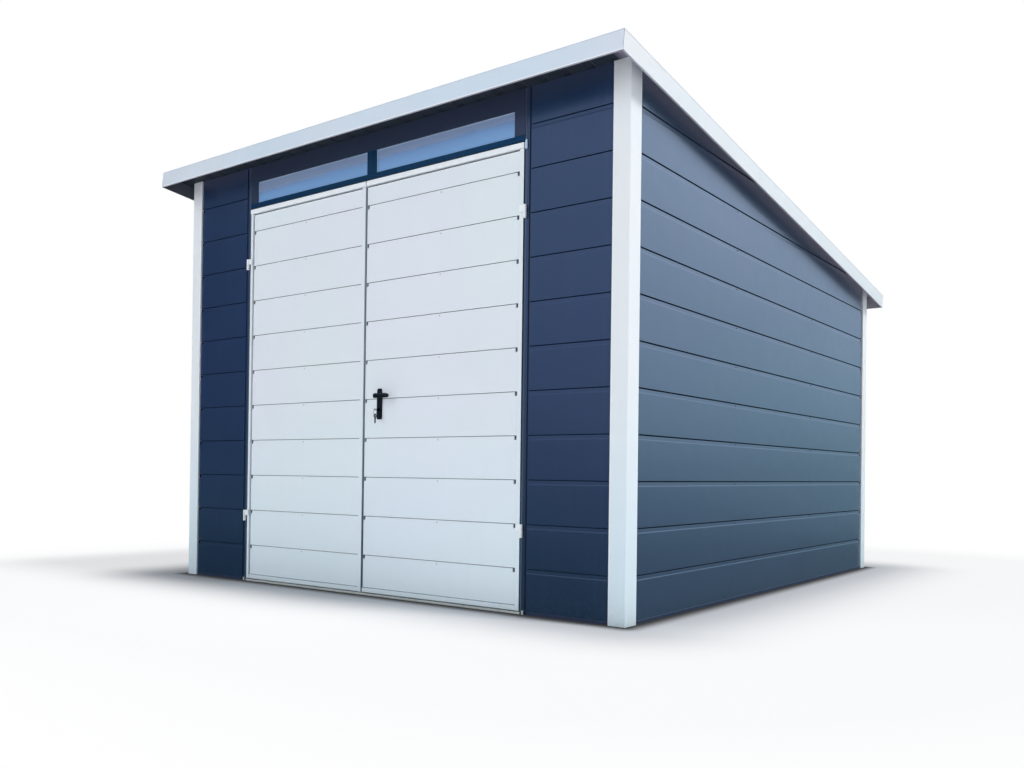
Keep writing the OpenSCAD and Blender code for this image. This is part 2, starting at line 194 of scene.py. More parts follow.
# %% Groups and rays
def group(name, inputs, outputs):
    """Starts a node group. Returns it with the sockets that bring values in and take them out."""
    tree = bpy.data.node_groups.new(name, "ShaderNodeTree")
    for label, value in inputs.items():
        kind = "NodeSocketColor" if isinstance(value, tuple) else "NodeSocketFloat"
        tree.interface.new_socket(label, in_out="INPUT", socket_type=kind).default_value = value
    for label in outputs:
        kind = "NodeSocketColor" if label == "Colour" else "NodeSocketFloat"
        tree.interface.new_socket(label, in_out="OUTPUT", socket_type=kind)
    return tree, tree.nodes.new("NodeGroupInput").outputs, tree.nodes.new("NodeGroupOutput").inputs


def use(tree, shared, **values):
    """Places a node group. An underscore in a value's name stands for a space."""
    node = tree.nodes.new("ShaderNodeGroup")
    node.node_tree = shared
    for label, value in values.items():
        feed(tree, node.inputs[label.replace("_", " ")], value)
    return node.outputs


def rays(tree):
    """Tells rays that come from the eye, straight or through a pane, and mirrored ones."""
    view = add(tree, "LightPath").outputs
    return maths(tree, "MAXIMUM", view["Is Camera Ray"], view["Is Transmission Ray"]), view["Is Glossy Ray"]


def either(tree, factor, first, second):
    return add(tree, "MixShader", {0: factor, 1: first.outputs[0], 2: second.outputs[0]})


# %% [markdown]
# ## Surroundings
# The eye sees plain white. What the glossy coat mirrors is another matter: the real walls
# mirror a pale blue sky to the right and behind, and something darker on the left, and the sky
# fades towards the horizon. So the mirrored surroundings get brighter with height and towards
# the right, and dimmer again far behind. They are graded by direction and stand still, so each
# side of the building mirrors its own part of them, from wherever it is looked at.

# %% World
world = bpy.data.worlds.new("surroundings")
scene.world = world
world.use_nodes = True
tree = world.node_tree
tree.nodes.clear()
from_eye, in_mirror = rays(tree)
looking = add(tree, "TexCoord").outputs["Generated"]
across, deep, up = [along(tree, looking, axis) for axis in "XYZ"]
rightward = ramp(tree, across, -0.30, 0.15)
by_height = times(tree, ramp(tree, up, -0.05, 0.11, 0.28, 0.84), ramp(tree, up, 0.08, 0.40, 1.0, 1.25))
by_side = times_plus(tree, rightward, 0.345, ramp(tree, across, -0.84, -0.48, 0.05, 0.82))
by_place = times(tree, by_side, ramp(tree, deep, 0.84, 0.98, 1.17, 0.60))
right_tint = tint(tree, ramp(tree, up, 0.0, 0.25), (0.50, 0.83, 1.04), (0.64, 0.79, 1.06))
sky_tint = tint(tree, rightward, (0.50, 0.63, 1), right_tint)
fill = add(tree, "Background", {"Color": (0.93, 0.97, 1.0), "Strength": 0.40})
mirrored = add(tree, "Background", {"Color": sky_tint, "Strength": times(tree, by_height, by_place)})
plain = add(tree, "Background", {"Color": (1, 1, 1), "Strength": 1.0})
shown = either(tree, from_eye, either(tree, in_mirror, fill, mirrored), plain)
add(tree, "OutputWorld", {"Surface": shown.outputs[0]})
scene.view_settings.view_transform = "Standard"
print("world fill", round(fill.inputs["Strength"].default_value, 2))

# %% [markdown]
# ## Effects that several finishes share
# A factory coat is never quite even: it drifts in shade over a metre, has a fine orange peel,
# and the thin sheet under it is faintly wavy. Dust gathers low down where rain splashes, and
# rain draws pale streaks down a wall. Both effects are groups, so the navy, the white and the
# roof coat get the same physics with their own strength.

# %% Coat group
PALE_GREY = (0.8, 0.8, 0.8, 1)
coat, into, out = group(
    "coat",
    {"Colour": PALE_GREY, "Second": PALE_GREY, "Drift": 0.06, "Gloss": 0.35, "Peel": 0.3, "Wave": 0.5},
    ["Colour", "Roughness", "Height"],
)
place = own_place(coat)
fine = noise(coat, place, 420.0, 2)
drifting = times_plus(coat, noise(coat, place, 1.3, 4), 0.65, times(coat, noise(coat, place, 11.0, 3), 0.35))
centred = maths(coat, "SUBTRACT", drifting, 0.5)
gain = times_plus(coat, centred, times(coat, into["Drift"], 4.0), 1.0)
patches = ramp(coat, noise(coat, place, 0.9, 2), 0.36, 0.64)
blend = tint(coat, patches, into["Colour"], into["Second"])
shade = add(coat, "VectorMath", {0: blend, 3: gain}, operation="SCALE").outputs[0]
feed(coat, out["Colour"], shade)
rough = times_plus(coat, centred, 0.25, into["Gloss"])
feed(coat, out["Roughness"], times_plus(coat, maths(coat, "SUBTRACT", fine, 0.5), 0.08, rough))
wavy = noise(coat, stretched(coat, place, (1.2, 1.2, 4.5)), 1.6, 2)
peel = times(coat, times(coat, fine, 0.00003), into["Peel"])
wave = times(coat, times(coat, wavy, 0.0025), into["Wave"])
feed(coat, out["Height"], maths(coat, "ADD", peel, wave))
print("coat group:", len(coat.nodes), "nodes")

# %% Weather group
weather, into, out = group(
    "weather",
    {"Colour": PALE_GREY, "Dust": (0.45, 0.43, 0.40, 1), "Low Tone": (1, 1, 1, 1),
     "Splash": 0.25, "Reach": 0.25, "Streaks": 0.1},
    ["Colour", "Dusty"],
)
place = own_place(weather)
height = along(weather, place, "Z")
low_down = maths(weather, "SUBTRACT", 1.0, maths(weather, "DIVIDE", height, into["Reach"]))
low_down = maths(weather, "MAXIMUM", low_down, 0.0)
speckle = ramp(weather, noise(weather, place, 60.0, 5, 0.7), 0.35, 0.75)
splash = times(weather, times(weather, times(weather, low_down, low_down), speckle), into["Splash"])
drips = noise(weather, stretched(weather, place, (34.0, 34.0, 0.9)), 1.0, 3, 0.6)
streaks = times(weather, ramp(weather, drips, 0.5, 0.75), into["Streaks"])
dusty = maths(weather, "MINIMUM", maths(weather, "ADD", splash, streaks), 1.0)
# Painted light and shade: over the lowest 1.3 m the colour turns, more and more towards the ground, into
# itself times the low colour input, which lightens, darkens or tints it.
shaded = tint(weather, 1.0, into["Colour"], into["Low Tone"], "MULTIPLY")
with_painted_low_light = tint(weather, ramp(weather, height, 1.3, 0.0), into["Colour"], shaded)
feed(weather, out["Colour"], tint(weather, dusty, with_painted_low_light, into["Dust"]))
feed(weather, out["Dusty"], dusty)
print("weather group:", len(weather.nodes), "nodes")

# %% [markdown]
# ## Worn edges and zinc
# Handled and walked-on metal loses its skin along the edges first. The Bevel node finds edges
# by rounding the normal there, so the difference between the round and the true normal is the
# mask. Zinc shows its crystals: angular patches, each a little brighter or rougher than the next.

# %% Worn edge group
worn, into, out = group("worn_edge", {"Width": 0.002, "Breaks": 90.0}, ["Mask"])
soft_normal = add(worn, "Bevel", {"Radius": into["Width"]}, samples=4).outputs[0]
true_normal = add(worn, "NewGeometry").outputs["True Normal"]
edge = ramp(worn, vectors(worn, "DOT_PRODUCT", soft_normal, true_normal, "Value"), 0.995, 0.86)
ragged = noise(worn, own_place(worn), into["Breaks"], 4, 0.7)
feed(worn, out["Mask"], times(worn, edge, ramp(worn, ragged, 0.3, 0.6)))
print("worn edge group:", len(worn.nodes), "nodes")

# %% Spangle group
spangle, into, out = group("spangle", {"Colour": (0.55, 0.57, 0.58, 1), "Grain": 120.0, "Contrast": 0.3},
                           ["Colour", "Roughness", "Height"])
place = own_place(spangle)
crystal = add(spangle, "TexVoronoi", {"Vector": place, "Scale": into["Grain"]})
patch = add(spangle, "SeparateColor", {0: crystal.outputs["Color"]}).outputs[0]
gain = times_plus(spangle, maths(spangle, "SUBTRACT", patch, 0.5), into["Contrast"], 1.0)
smear = times_plus(spangle, noise(spangle, place, 7.0, 4), 0.5, 0.75)
gain = times(spangle, gain, smear)
shade = add(spangle, "VectorMath", {0: into["Colour"], 3: gain}, operation="SCALE").outputs[0]
feed(spangle, out["Colour"], shade)
feed(spangle, out["Roughness"], times_plus(spangle, patch, 0.22, 0.32))
feed(spangle, out["Height"], times(spangle, patch, 0.00005))
print("spangle group:", len(spangle.nodes), "nodes")

# %% [markdown]
# ## Finishes
# Each finish starts from one Principled shader. Its plain numbers, such as the refraction
# index or the sheen, are written on its own sockets, and only what changes over the surface is
# linked. Paint is the coat group under the weather group. It takes two shades of its colour,
# how far they drift, its roughness, and what dust and rain did to it.

# %% Finish helpers
def finish(name, links, **plain):
    """A material around one Principled shader: links feed it, plain numbers are set on it."""
    material = bpy.data.materials.new(name)
    material.use_nodes = True
    tree = material.node_tree
    tree.nodes.clear()
    shader = add(tree, "BsdfPrincipled")
    for label, value in {**plain, **links(tree)}.items():
        if label == "Height":
            label = "Normal"
            value = add(tree, "Bump", {"Height": value, "Distance": 1.0, "Strength": 1.0}).outputs[0]
        feed(tree, shader.inputs[label.replace("_", " ")], value)
    add(tree, "OutputMaterial", {"Surface": shader.outputs[0]})
    return material


# low is painted light and shade: a colour that the paint is multiplied by, more and more towards the ground.
def paint(name, colour, second, drift, gloss, shader, peel=1.0, wave=1.0, dust=(0.45, 0.43, 0.40),
          low=(1, 1, 1), splash=0.2, reach=0.25, streaks=0.06):
    def links(tree):
        base = use(tree, coat, Colour=colour, Second=second, Drift=drift, Gloss=gloss, Peel=peel, Wave=wave)
        top = use(tree, weather, Colour=base["Colour"], Dust=dust, Low_Tone=low, Splash=splash,
                  Reach=reach, Streaks=streaks)
        rough = times_plus(tree, top["Dusty"], 0.4, base["Roughness"])
        return {"Base_Color": top["Colour"], "Roughness": rough, "Height": base["Height"]}
    return finish(name, links, **shader)


SATIN = {"IOR": 1.45}
FLAT = {"IOR": 1.4}
DULL = {"IOR": 1.3}
BLUE_DUST = (0.20, 0.22, 0.26)
PALE_DUST = (0.50, 0.55, 0.60)
SOOT = (0.12, 0.12, 0.12)
WALL_WEAR = {"splash": 0.10, "streaks": 0.02, "dust": BLUE_DUST}
FASCIA_WEAR = {"wave": 0.35, "splash": 0.0, "streaks": 0.05, "dust": PALE_DUST}
BACK_WEAR = {"wave": 0.2, "splash": 0.0, "streaks": 0.1}
GAP_WEAR = {"wave": 0.0, "splash": 0.2, "dust": SOOT}


# %% [markdown]
# ### Navy coat
# The walls have a deep navy satin coat. Seen straight on, it is almost black-blue. Seen along
# the wall, its clear top coat mirrors the surroundings and turns it a hazy grey-blue. The side
# and back walls are painted a slightly lighter navy, as painted light, and a trace of sheen
# stands for the layer of dust on them. Towards the ground the walls' navy is painted duller, as
# painted shade. The trim, the lips beside the doors and the head above them are painted in their
# own shades of navy for how the light falls on them: the trim and the lips lighter, the lips
# brighter still towards the ground, and the head darker, with a blue-tinted highlight. The
# shadow gaps between courses are nearly black.

# %% Navy
CLEAR = {"IOR": 1.5, "Coat_Weight": 1.0, "Coat_Roughness": 0.22, "Coat_IOR": 1.5}
FILMED = {**CLEAR, "Coat_IOR": 1.6, "Sheen_Weight": 0.15, "Sheen_Roughness": 0.45,
          "Sheen_Tint": (0.6, 0.80, 1)}
navy = paint("navy_coat", (0.0055, 0.029, 0.083), (0.0065, 0.027, 0.086), 0.07, 0.34, CLEAR,
             **WALL_WEAR, low=(1.05, 1.0, 0.83))
# Painted light: the side and back walls' navy is a little lighter than the front walls'.
navy_painted_lighter = paint("navy_painted_lighter", (0.009, 0.037, 0.082), (0.013, 0.035, 0.086), 0.07, 0.36, FILMED,
                   **WALL_WEAR, low=(0.9, 0.95, 0.9))
# Painted light: the trim's navy is lighter than the walls'.
navy_trim = paint("navy_trim", (0.026, 0.038, 0.078), (0.023, 0.040, 0.080), 0.06, 0.38, SATIN,
                  **WALL_WEAR, wave=0.2)
# Painted highlight: the lips' navy is lighter, and brighter still towards the ground.
navy_lip = paint("navy_lip", (0.032, 0.050, 0.100), (0.030, 0.054, 0.092), 0.06, 0.30,
                 {**CLEAR, "Coat_Roughness": 0.18}, wave=0.2, splash=0.20, streaks=0.02,
                 dust=(0.24, 0.28, 0.32), low=(2.2, 2.1, 1.7))
# Painted shade: the head and the mullion get a darker navy, with a blue-tinted highlight.
navy_bright = paint("navy_bright", (0.0010, 0.024, 0.072), (0.002, 0.026, 0.064), 0.06, 0.34,
                    {"IOR": 1.5, "Specular_Tint": (0.30, 0.70, 1)}, **WALL_WEAR, wave=0.2)
joint_navy = paint("joint_navy", (0.008, 0.015, 0.034), (0.010, 0.016, 0.032), 0.2, 0.7, DULL,
                   wave=0.0, splash=0.3, dust=(0.05, 0.05, 0.05))
print("navy shades mixed for the walls, their trim, the lips, the head and the gaps")

# %% [markdown]
# ### White coat
# The leaves, the posts and the fascia are three makes of white sheet, and they have aged to
# slightly different whites. The front fascia is painted a darker, bluer white than the side
# fascia, as painted shade, and the leaves and the posts are painted bluer towards the ground.
# Hems, the leaves' drip caps and the hinges are painted a brighter white, a painted highlight.
# The backs of the sheets and the gaps between the courses of a leaf are grey. The leaves' outer
# and meeting edges are painted in the greys of the shaded gaps beside them, and the back of the
# left fascia is painted dark, as painted shade. The glazing beads and the cap on the door post
# are painted a pale sky blue, a painted reflection.

# %% White
# Painted light: towards the ground the leaves' and the posts' white is painted bluer.
white_door = paint("white_door", (0.765, 0.830, 0.865), (0.775, 0.815, 0.880), 0.012, 0.38, SATIN,
                   splash=0.16, reach=0.16, streaks=0.025, dust=PALE_DUST, low=(1.0, 1.06, 1.09))
white_trim = paint("white_trim", (0.83, 0.855, 0.870), (0.82, 0.850, 0.885), 0.012, 0.34, SATIN,
                   wave=0.35, splash=0.28, reach=0.14, streaks=0.04, dust=(0.50, 0.54, 0.58),
                   low=(0.87, 1.0, 1.06))
# Painted shade: the front fascia's white is darker and bluer than that of the other three.
white_fascia_painted_shade = paint("white_fascia_painted_shade", (0.64, 0.735, 0.83), (0.68, 0.735, 0.82), 0.015, 0.34, SATIN,
                     **FASCIA_WEAR)
side_fascia = paint("side_fascia", (0.73, 0.775, 0.795), (0.77, 0.785, 0.80), 0.015, 0.34, SATIN,
                    **FASCIA_WEAR)
# Painted highlight: a brighter white for the hems, the leaves' drip caps and the hinges.
painted_highlight_white = paint("painted_highlight_white", (0.88, 0.91, 0.94), (0.88, 0.91, 0.95), 0.01, 0.30, SATIN,
                    wave=0.1, splash=0.2, reach=0.12, streaks=0.02, dust=(0.50, 0.52, 0.54))
sheet_back = paint("sheet_back", (0.50, 0.50, 0.56), (0.46, 0.47, 0.54), 0.08, 0.55, FLAT,
                   **BACK_WEAR, dust=(0.30, 0.29, 0.28))
# Painted shade: the left fascia's back is dark, where the other fascia backs are pale grey.
dark_back_painted_shade = paint("dark_back_painted_shade", (0.10, 0.105, 0.125), (0.09, 0.10, 0.125), 0.08, 0.55, FLAT,
                  **BACK_WEAR, dust=(0.15, 0.14, 0.13))
# Painted shade: the right leaf's outer edge is dark grey like the shaded gap beside it, lighter towards the
# ground.
edge_painted_shade = paint("edge_painted_shade", (0.055, 0.070, 0.092), (0.060, 0.072, 0.095), 0.1, 0.5, FLAT,
                  wave=0.0, splash=0.1, dust=SOOT, low=(4.5, 4.5, 4.5))
# Painted shade: the meeting seal's blue-grey is also painted on the left leaf's meeting edge as the shaded
# gap, darker towards the ground.
seal_grey_and_gap_shade = paint("seal_grey_and_gap_shade", (0.46, 0.54, 0.62), (0.43, 0.51, 0.59), 0.1, 0.6, FLAT,
                  **GAP_WEAR, low=(0.5, 0.53, 0.57))
joint_grey = paint("joint_grey", (0.075, 0.088, 0.100), (0.085, 0.090, 0.100), 0.2, 0.7, DULL, **GAP_WEAR)
inner_coat = paint("inner_coat", (0.56, 0.58, 0.58), (0.54, 0.57, 0.59), 0.03, 0.5, SATIN,
                   splash=0.3, reach=0.5, streaks=0.08, dust=(0.38, 0.36, 0.33))
# Painted reflection: a pale sky blue for the glazing beads and the cap on the door post.
bead_painted_sky_blue = paint("bead_painted_sky_blue", (0.50, 0.66, 0.86), (0.46, 0.60, 0.80), 0.1, 0.4, SATIN,
                  wave=0.0, splash=0.0, streaks=0.1)
print("white shades mixed, and the greys of the backs, edges and gaps")

# %% [markdown]
# ### Roof coat
# The ribbed sheet has a slate coat with a little lichen on top, and a dark coat below, which
# over the eave on the right side is painted paler and more purple, as painted light. One material
# does both: it asks which way the surface faces. The underside also glows very faintly in
# mirrored rays alone, a painted glow that stands for the light the real eave gets back from
# everything round it, and the eye never sees it.

# %% Roof coat
def roof_links(tree):
    facing = along(tree, add(tree, "TexCoord").outputs["Normal"], "Z")
    place = own_place(tree)
    top = use(tree, coat, Colour=(0.050, 0.056, 0.066), Second=(0.058, 0.060, 0.066), Drift=0.10,
              Gloss=0.5, Peel=1.0, Wave=0.3)
    lichen = ramp(tree, noise(tree, place, 9.0, 6, 0.7), 0.58, 0.72, 0.0, 0.35)
    dusty = tint(tree, lichen, top["Colour"], (0.16, 0.165, 0.15))
    # Painted light: over the right-hand eave the underside turns paler and more purple.
    outward = ramp(tree, along(tree, place, "X"), 1.44, 1.52)
    backing_with_painted_light = tint(tree, outward, (0.034, 0.045, 0.066), (0.30, 0.27, 0.36))
    under = use(tree, coat, Colour=backing_with_painted_light, Second=backing_with_painted_light, Drift=0.02, Gloss=0.6, Peel=1.0, Wave=0.3)
    mirrored = add(tree, "LightPath").outputs["Is Glossy Ray"]
    glow = times(tree, times(tree, mirrored, ramp(tree, facing, 0.1, -0.1)), 0.13)
    return {"Base_Color": tint(tree, ramp(tree, facing, -0.1, 0.1), under["Colour"], dusty),
            "Roughness": top["Roughness"], "Height": top["Height"], "Emission_Strength": glow}


roof_coat = finish("roof_coat", roof_links, **SATIN, Emission_Color=(1, 0.92, 1.25))

# %% [markdown]
# ### Bare metal
# The frame inside is zinc that has dulled, with polished edges and grey dirt in between. The
# sill is thin zinc under a pale lime bloom, scuffed bare along its edges. The keys and the
# lock are dull nickel, painted nearly black as painted shade and brighter where it is rubbed,
# and the bow of the hanging key is painted lighter, as painted light.

# %% Zinc and nickel
def soiled_zinc(tree, colour, contrast, breaks, spots, dirt_range, dirt_colour, polished):
    """Spangled zinc with dirt on it and bare edges. Returns its links and the dirt mask."""
    metal = use(tree, spangle, Colour=colour, Grain=110.0, Contrast=contrast)
    edge = use(tree, worn, Width=0.0025, Breaks=breaks)
    dirt = ramp(tree, noise(tree, own_place(tree), spots, 6, 0.7), *dirt_range)
    soiled = tint(tree, dirt, metal["Colour"], dirt_colour)
    shade = tint(tree, edge["Mask"], soiled, polished)
    return {"Base_Color": shade, "Roughness": metal["Roughness"], "Height": metal["Height"]}, dirt


def zinc_links(tree):
    links, dirt = soiled_zinc(tree, (0.52, 0.54, 0.55), 0.35, 120.0, 28.0, (0.45, 0.75, 0.0, 0.55),
                              (0.17, 0.165, 0.16), (0.74, 0.76, 0.78))
    links["Roughness"] = times_plus(tree, dirt, 0.4, links["Roughness"])
    return links


def sill_links(tree):
    return soiled_zinc(tree, (0.60, 0.64, 0.62), 0.15, 60.0, 22.0, (0.5, 0.8, 0.0, 0.5),
                       (0.30, 0.31, 0.30), (0.70, 0.73, 0.73))[0]


def nickel(colour, rubbed):
    def links(tree):
        metal = use(tree, spangle, Colour=colour, Grain=900.0, Contrast=0.2)
        edge = use(tree, worn, Width=0.0006, Breaks=500.0)
        shade = tint(tree, edge["Mask"], metal["Colour"], rubbed)
        return {"Base_Color": shade, "Roughness": metal["Roughness"]}
    return links


zinc = finish("dulled_zinc", zinc_links, Metallic=0.75)
bloomed_zinc = finish("bloomed_zinc", sill_links, **SATIN, Metallic=0.1)
# Painted shade: nearly black nickel for the lock and keys, and a lighter copy for the hanging key's bow.
key_metal = finish("key_metal", nickel((0.012, 0.015, 0.020), (0.035, 0.040, 0.045)), Metallic=1.0)
bright_key_painted_light = finish("bright_key_painted_light", nickel((0.10, 0.115, 0.13), (0.17, 0.18, 0.19)), Metallic=1.0)

# %% [markdown]
# ### Black plastic and rubber
# The lever and its plates are black moulded plastic, grey where fingers have polished the
# edges. The washers and the gaskets round the leaf panels are a softer, dustier rubber.

# %% Black plastic and rubber
def black_links(tree):
    base = use(tree, coat, Colour=(0.0035, 0.005, 0.009), Second=(0.004, 0.006, 0.012), Drift=0.10,
               Gloss=0.36, Peel=2.5, Wave=0.0)
    edge = use(tree, worn, Width=0.0015, Breaks=200.0)
    colour = tint(tree, edge["Mask"], base["Colour"], (0.030, 0.034, 0.042))
    return {"Base_Color": colour, "Roughness": base["Roughness"], "Height": base["Height"]}


def rubber_links(tree):
    base = use(tree, coat, Colour=(0.016, 0.018, 0.022), Second=(0.020, 0.021, 0.023), Drift=0.15,
               Gloss=0.65, Peel=3.0, Wave=0.0)
    top = use(tree, weather, Colour=base["Colour"], Dust=SOOT, Splash=0.5, Reach=0.3, Streaks=0.1)
    return {"Base_Color": top["Colour"], "Roughness": base["Roughness"], "Height": base["Height"]}


black_handle = finish("black_handle", black_links, IOR=1.38)
rubber = finish("rubber", rubber_links, IOR=1.5)
print("finishes mixed:", len(bpy.data.materials))

# %% [markdown]
# ### Light panes
# The transom lights are thin sheets. They show the bright sky more than the dark inside: their
# blue body colour, brighter low down, is a painted reflection of the sky, and a greyer, rougher
# band in their upper part, slanting a little across each pane, is a painted reflection as well.
# A partly transmitting shader with a coloured body does both.

# %% Panes
def pane_links(tree):
    place = own_place(tree)
    height = along(tree, place, "Z")
    drift = times_plus(tree, noise(tree, place, 7.0, 3), 0.035, height)
    # Painted reflection: a greyer, rougher band over the panes' upper part, and below it a blue body,
    # brighter low down.
    painted_reflection_band = ramp(tree, times_plus(tree, along(tree, place, "X"), -0.012, drift), 2.236, 2.272)
    blue = tint(tree, ramp(tree, height, 2.17, 2.26), (0.25, 0.47, 0.82), (0.20, 0.37, 0.70))
    return {"Base_Color": tint(tree, painted_reflection_band, blue, (0.285, 0.385, 0.60)),
            "Roughness": times_plus(tree, painted_reflection_band, 0.25, 0.12)}


pane = finish("light_pane", pane_links, IOR=1.5, Transmission_Weight=0.15)

# %% [markdown]
# ## Floor
# A plain pale floor. Close to the walls, outside and inside, it is a matt surface that takes
# the soft shadow, and its colour is painted darker towards the walls, a painted shadow that is
# nearly black at their foot. Further out it turns, for the eye only, into the same white as the
# surroundings, so no horizon shows. In mirrored rays it is a dim blue-grey ground that gets
# paler with distance and to the right, because the real walls mirror a ground darker than the sky.

# %% Floor
def floor_material():
    material = bpy.data.materials.new("pale_floor")
    material.use_nodes = True
    tree = material.node_tree
    tree.nodes.clear()
    where = add(tree, "NewGeometry").outputs["Position"]
    over = vectors(tree, "SUBTRACT", vectors(tree, "ABSOLUTE", where, (0, 0, 0)), (post_high.x, -FRONT_Y, 1))
    away = vectors(tree, "LENGTH", vectors(tree, "MAXIMUM", over, (0, 0, 0)), (0, 0, 0), "Value")
    gaps = vectors(tree, "MULTIPLY", over, (-1, -1, 0))
    within = maths(tree, "MINIMUM", along(tree, gaps, "X"), along(tree, gaps, "Y"))
    off_wall = maths(tree, "MAXIMUM", away, within)
    # Painted shadow: the floor's colour goes nearly black at the walls' foot and stays darker out to 0.8 m.
    corner = tint(tree, ramp(tree, off_wall, 0.0, 0.11), (0.010, 0.010, 0.013), (0.44, 0.46, 0.49))
    floor_with_painted_shadow = tint(tree, ramp(tree, off_wall, 0.06, 0.8), corner, (0.72, 0.73, 0.75))
    matt = add(tree, "BsdfDiffuse", {"Color": floor_with_painted_shadow})
    white = add(tree, "Emission", {"Color": (1, 1, 1), "Strength": 1.0})
    from_eye, in_mirror = rays(tree)
    near, far = ramp(tree, away, 0.0, 0.70, 0.0, 0.62), ramp(tree, away, 0.0, 2.6, 0.04, 1.0)
    seen = either(tree, times(tree, maths(tree, "MAXIMUM", near, far), from_eye), matt, white)
    aside = ramp(tree, along(tree, where, "X"), 0.5, 2.2, 1.0, 2.0)
    behind = ramp(tree, along(tree, where, "Y"), 0.0, 5.0, 1.0, 0.7)
    strength = times(tree, times(tree, ramp(tree, away, 0.5, 9, 0.05, 0.20), aside), behind)
    dim = add(tree, "Emission", {"Color": (0.47, 0.84, 1.10), "Strength": strength})
    add(tree, "OutputMaterial", {"Surface": either(tree, in_mirror, seen, dim).outputs[0]})
    return material


FLOOR_RADIUS, FLOOR_SINK = 80, 0.0005
bm = bmesh.new()
bmesh.ops.create_circle(bm, cap_ends=True, radius=FLOOR_RADIUS, segments=64)
mesh = bpy.data.meshes.new("floor")
bm.to_mesh(mesh)
bm.free()
floor = bpy.data.objects.new("floor", mesh)
floor.location.z = -FLOOR_SINK
mesh.materials.append(floor_material())
scene.collection.objects.link(floor)
print("floor laid,", len(mesh.materials[0].node_tree.nodes), "nodes")

# %% [markdown]
# ## Mesh tools
# Sheet-metal pieces are bars: a folded section that runs straight from one end to the other.
# So one tool draws a section with round corners, a second lofts it into a closed bar and cuts
# its ends with planes, and a third gathers bars into one piece with clean, weighted normals.
# Two more turn round pieces about an axis and sweep an oval rod along a line.

# %% Section with round corners
def rounded(corners, steps=4):
    """Points of an outline whose corners are (a, b, radius)."""
    points = []
    for i, (a, b, radius) in enumerate(corners):
        here = Vector((a, b))
        if radius <= 0:
            points.append((a, b))
            continue
        before = (Vector(corners[i - 1][:2]) - here).normalized()
        after = (Vector(corners[(i + 1) % len(corners)][:2]) - here).normalized()
        half = before.angle(after) / 2
        middle = here + (before + after).normalized() * (radius / math.sin(half))
        start = here + before * (radius / math.tan(half)) - middle
        end = here + after * (radius / math.tan(half)) - middle
        sweep = math.atan2(start.cross(end), start.dot(end))
        for k in range(steps + 1):
            c, s = math.cos(sweep * k / steps), math.sin(sweep * k / steps)
            points.append((middle.x + start.x * c - start.y * s, middle.y + start.x * s + start.y * c))
    return points


def mm(points):
    """Corners or profile points that are written in millimetres."""
    return [tuple(value * MM for value in point) for point in points]


def turns(steps):
    return [2 * math.pi * k / steps for k in range(steps)]


# %% Bars
def skinned(bm, rings):
    """Closes rings of points into a solid: a band between neighbours, and a face at each end."""
    for near, far in zip(rings, rings[1:]):
        for i in range(len(near)):
            j = (i + 1) % len(near)
            bm.faces.new((near[i], near[j], far[j], far[i]))
    bm.faces.new(rings[0][::-1])
    bm.faces.new(rings[-1])


def sealed(bm):
    bmesh.ops.recalc_face_normals(bm, faces=bm.faces)
    bm.normal_update()
    return bm


def bar(sections, place, cuts=()):
    """A closed bar through sections (t, outline), cut by planes (point, normal)."""
    bm = bmesh.new()
    skinned(bm, [[bm.verts.new(place(a, b, t)) for a, b in outline] for t, outline in sections])
    for point, normal in cuts:
        whole = bm.verts[:] + bm.edges[:] + bm.faces[:]
        bmesh.ops.bisect_plane(bm, geom=whole, dist=1e-7, plane_co=point, plane_no=normal,
                               clear_outer=True)
        bmesh.ops.holes_fill(bm, edges=[e for e in bm.edges if e.is_boundary], sides=0)
    return sealed(bm)


# %% Round pieces and rods
def turned(profile, place, steps=24, closed=False):
    """A round piece: its profile (radius, height) turned about the axis of place(x, y, height)."""
    bm = bmesh.new()
    rings = []
    for radius, height in profile:
        angles = turns(steps) if radius > 0 else [0]
        rings.append([bm.verts.new(place(radius * math.cos(t), radius * math.sin(t), height))
                      for t in angles])
    pairs = list(zip(rings, rings[1:])) + ([(rings[-1], rings[0])] if closed else [])
    for one, two in pairs:
        for i in range(steps):
            j = (i + 1) % steps
            quad = [one[i % len(one)], one[j % len(one)], two[j % len(two)], two[i % len(two)]]
            quad = list(dict.fromkeys(quad))
            if len(quad) > 2:
                bm.faces.new(quad)
    return sealed(bm)


def rod(points, sizes, side, steps=16):
    """A rod along points with an oval section (half width along side, half height) at each."""
    bm = bmesh.new()
    rings = []
    for i, (point, (wide, high)) in enumerate(zip(points, sizes)):
        run = (points[min(i + 1, len(points) - 1)] - points[max(i - 1, 0)]).normalized()
        one = (side - side.dot(run) * run).normalized()
        two = run.cross(one)
        rings.append([bm.verts.new(point + one * wide * math.cos(t) + two * high * math.sin(t))
                      for t in turns(steps)])
    skinned(bm, rings)
    return sealed(bm)


# %% Gather bars into a piece
def piece(name, parts, materials, body, replaces=(), sharp=32):
    whole = bmesh.new()
    for part in parts:
        mesh = bpy.data.meshes.new("part")
        part.to_mesh(mesh)
        part.free()
        whole.from_mesh(mesh)
        bpy.data.meshes.remove(mesh)
    mesh = bpy.data.meshes.new(name)
    whole.to_mesh(mesh)
    whole.free()
    mesh.shade_smooth()
    mesh.set_sharp_from_angle(angle=math.radians(sharp))
    for material in materials:
        mesh.materials.append(material)
    obj = bpy.data.objects.new(name, mesh)
    scene.collection.objects.link(obj)
    shading = obj.modifiers.new("even_shading", "WEIGHTED_NORMAL")
    shading.keep_sharp = True
    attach(obj, body)
    if replaces:
        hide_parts(*replaces)
    print(name, len(mesh.polygons), "faces on", body)


def centre(face):
    return face.calc_center_median()


def painted(part, index, test=None):
    """Gives a part's faces, or those that pass the test, another of the piece's materials."""
    for face in part.faces:
        if test is None or test(face):
            face.material_index = index
    return part


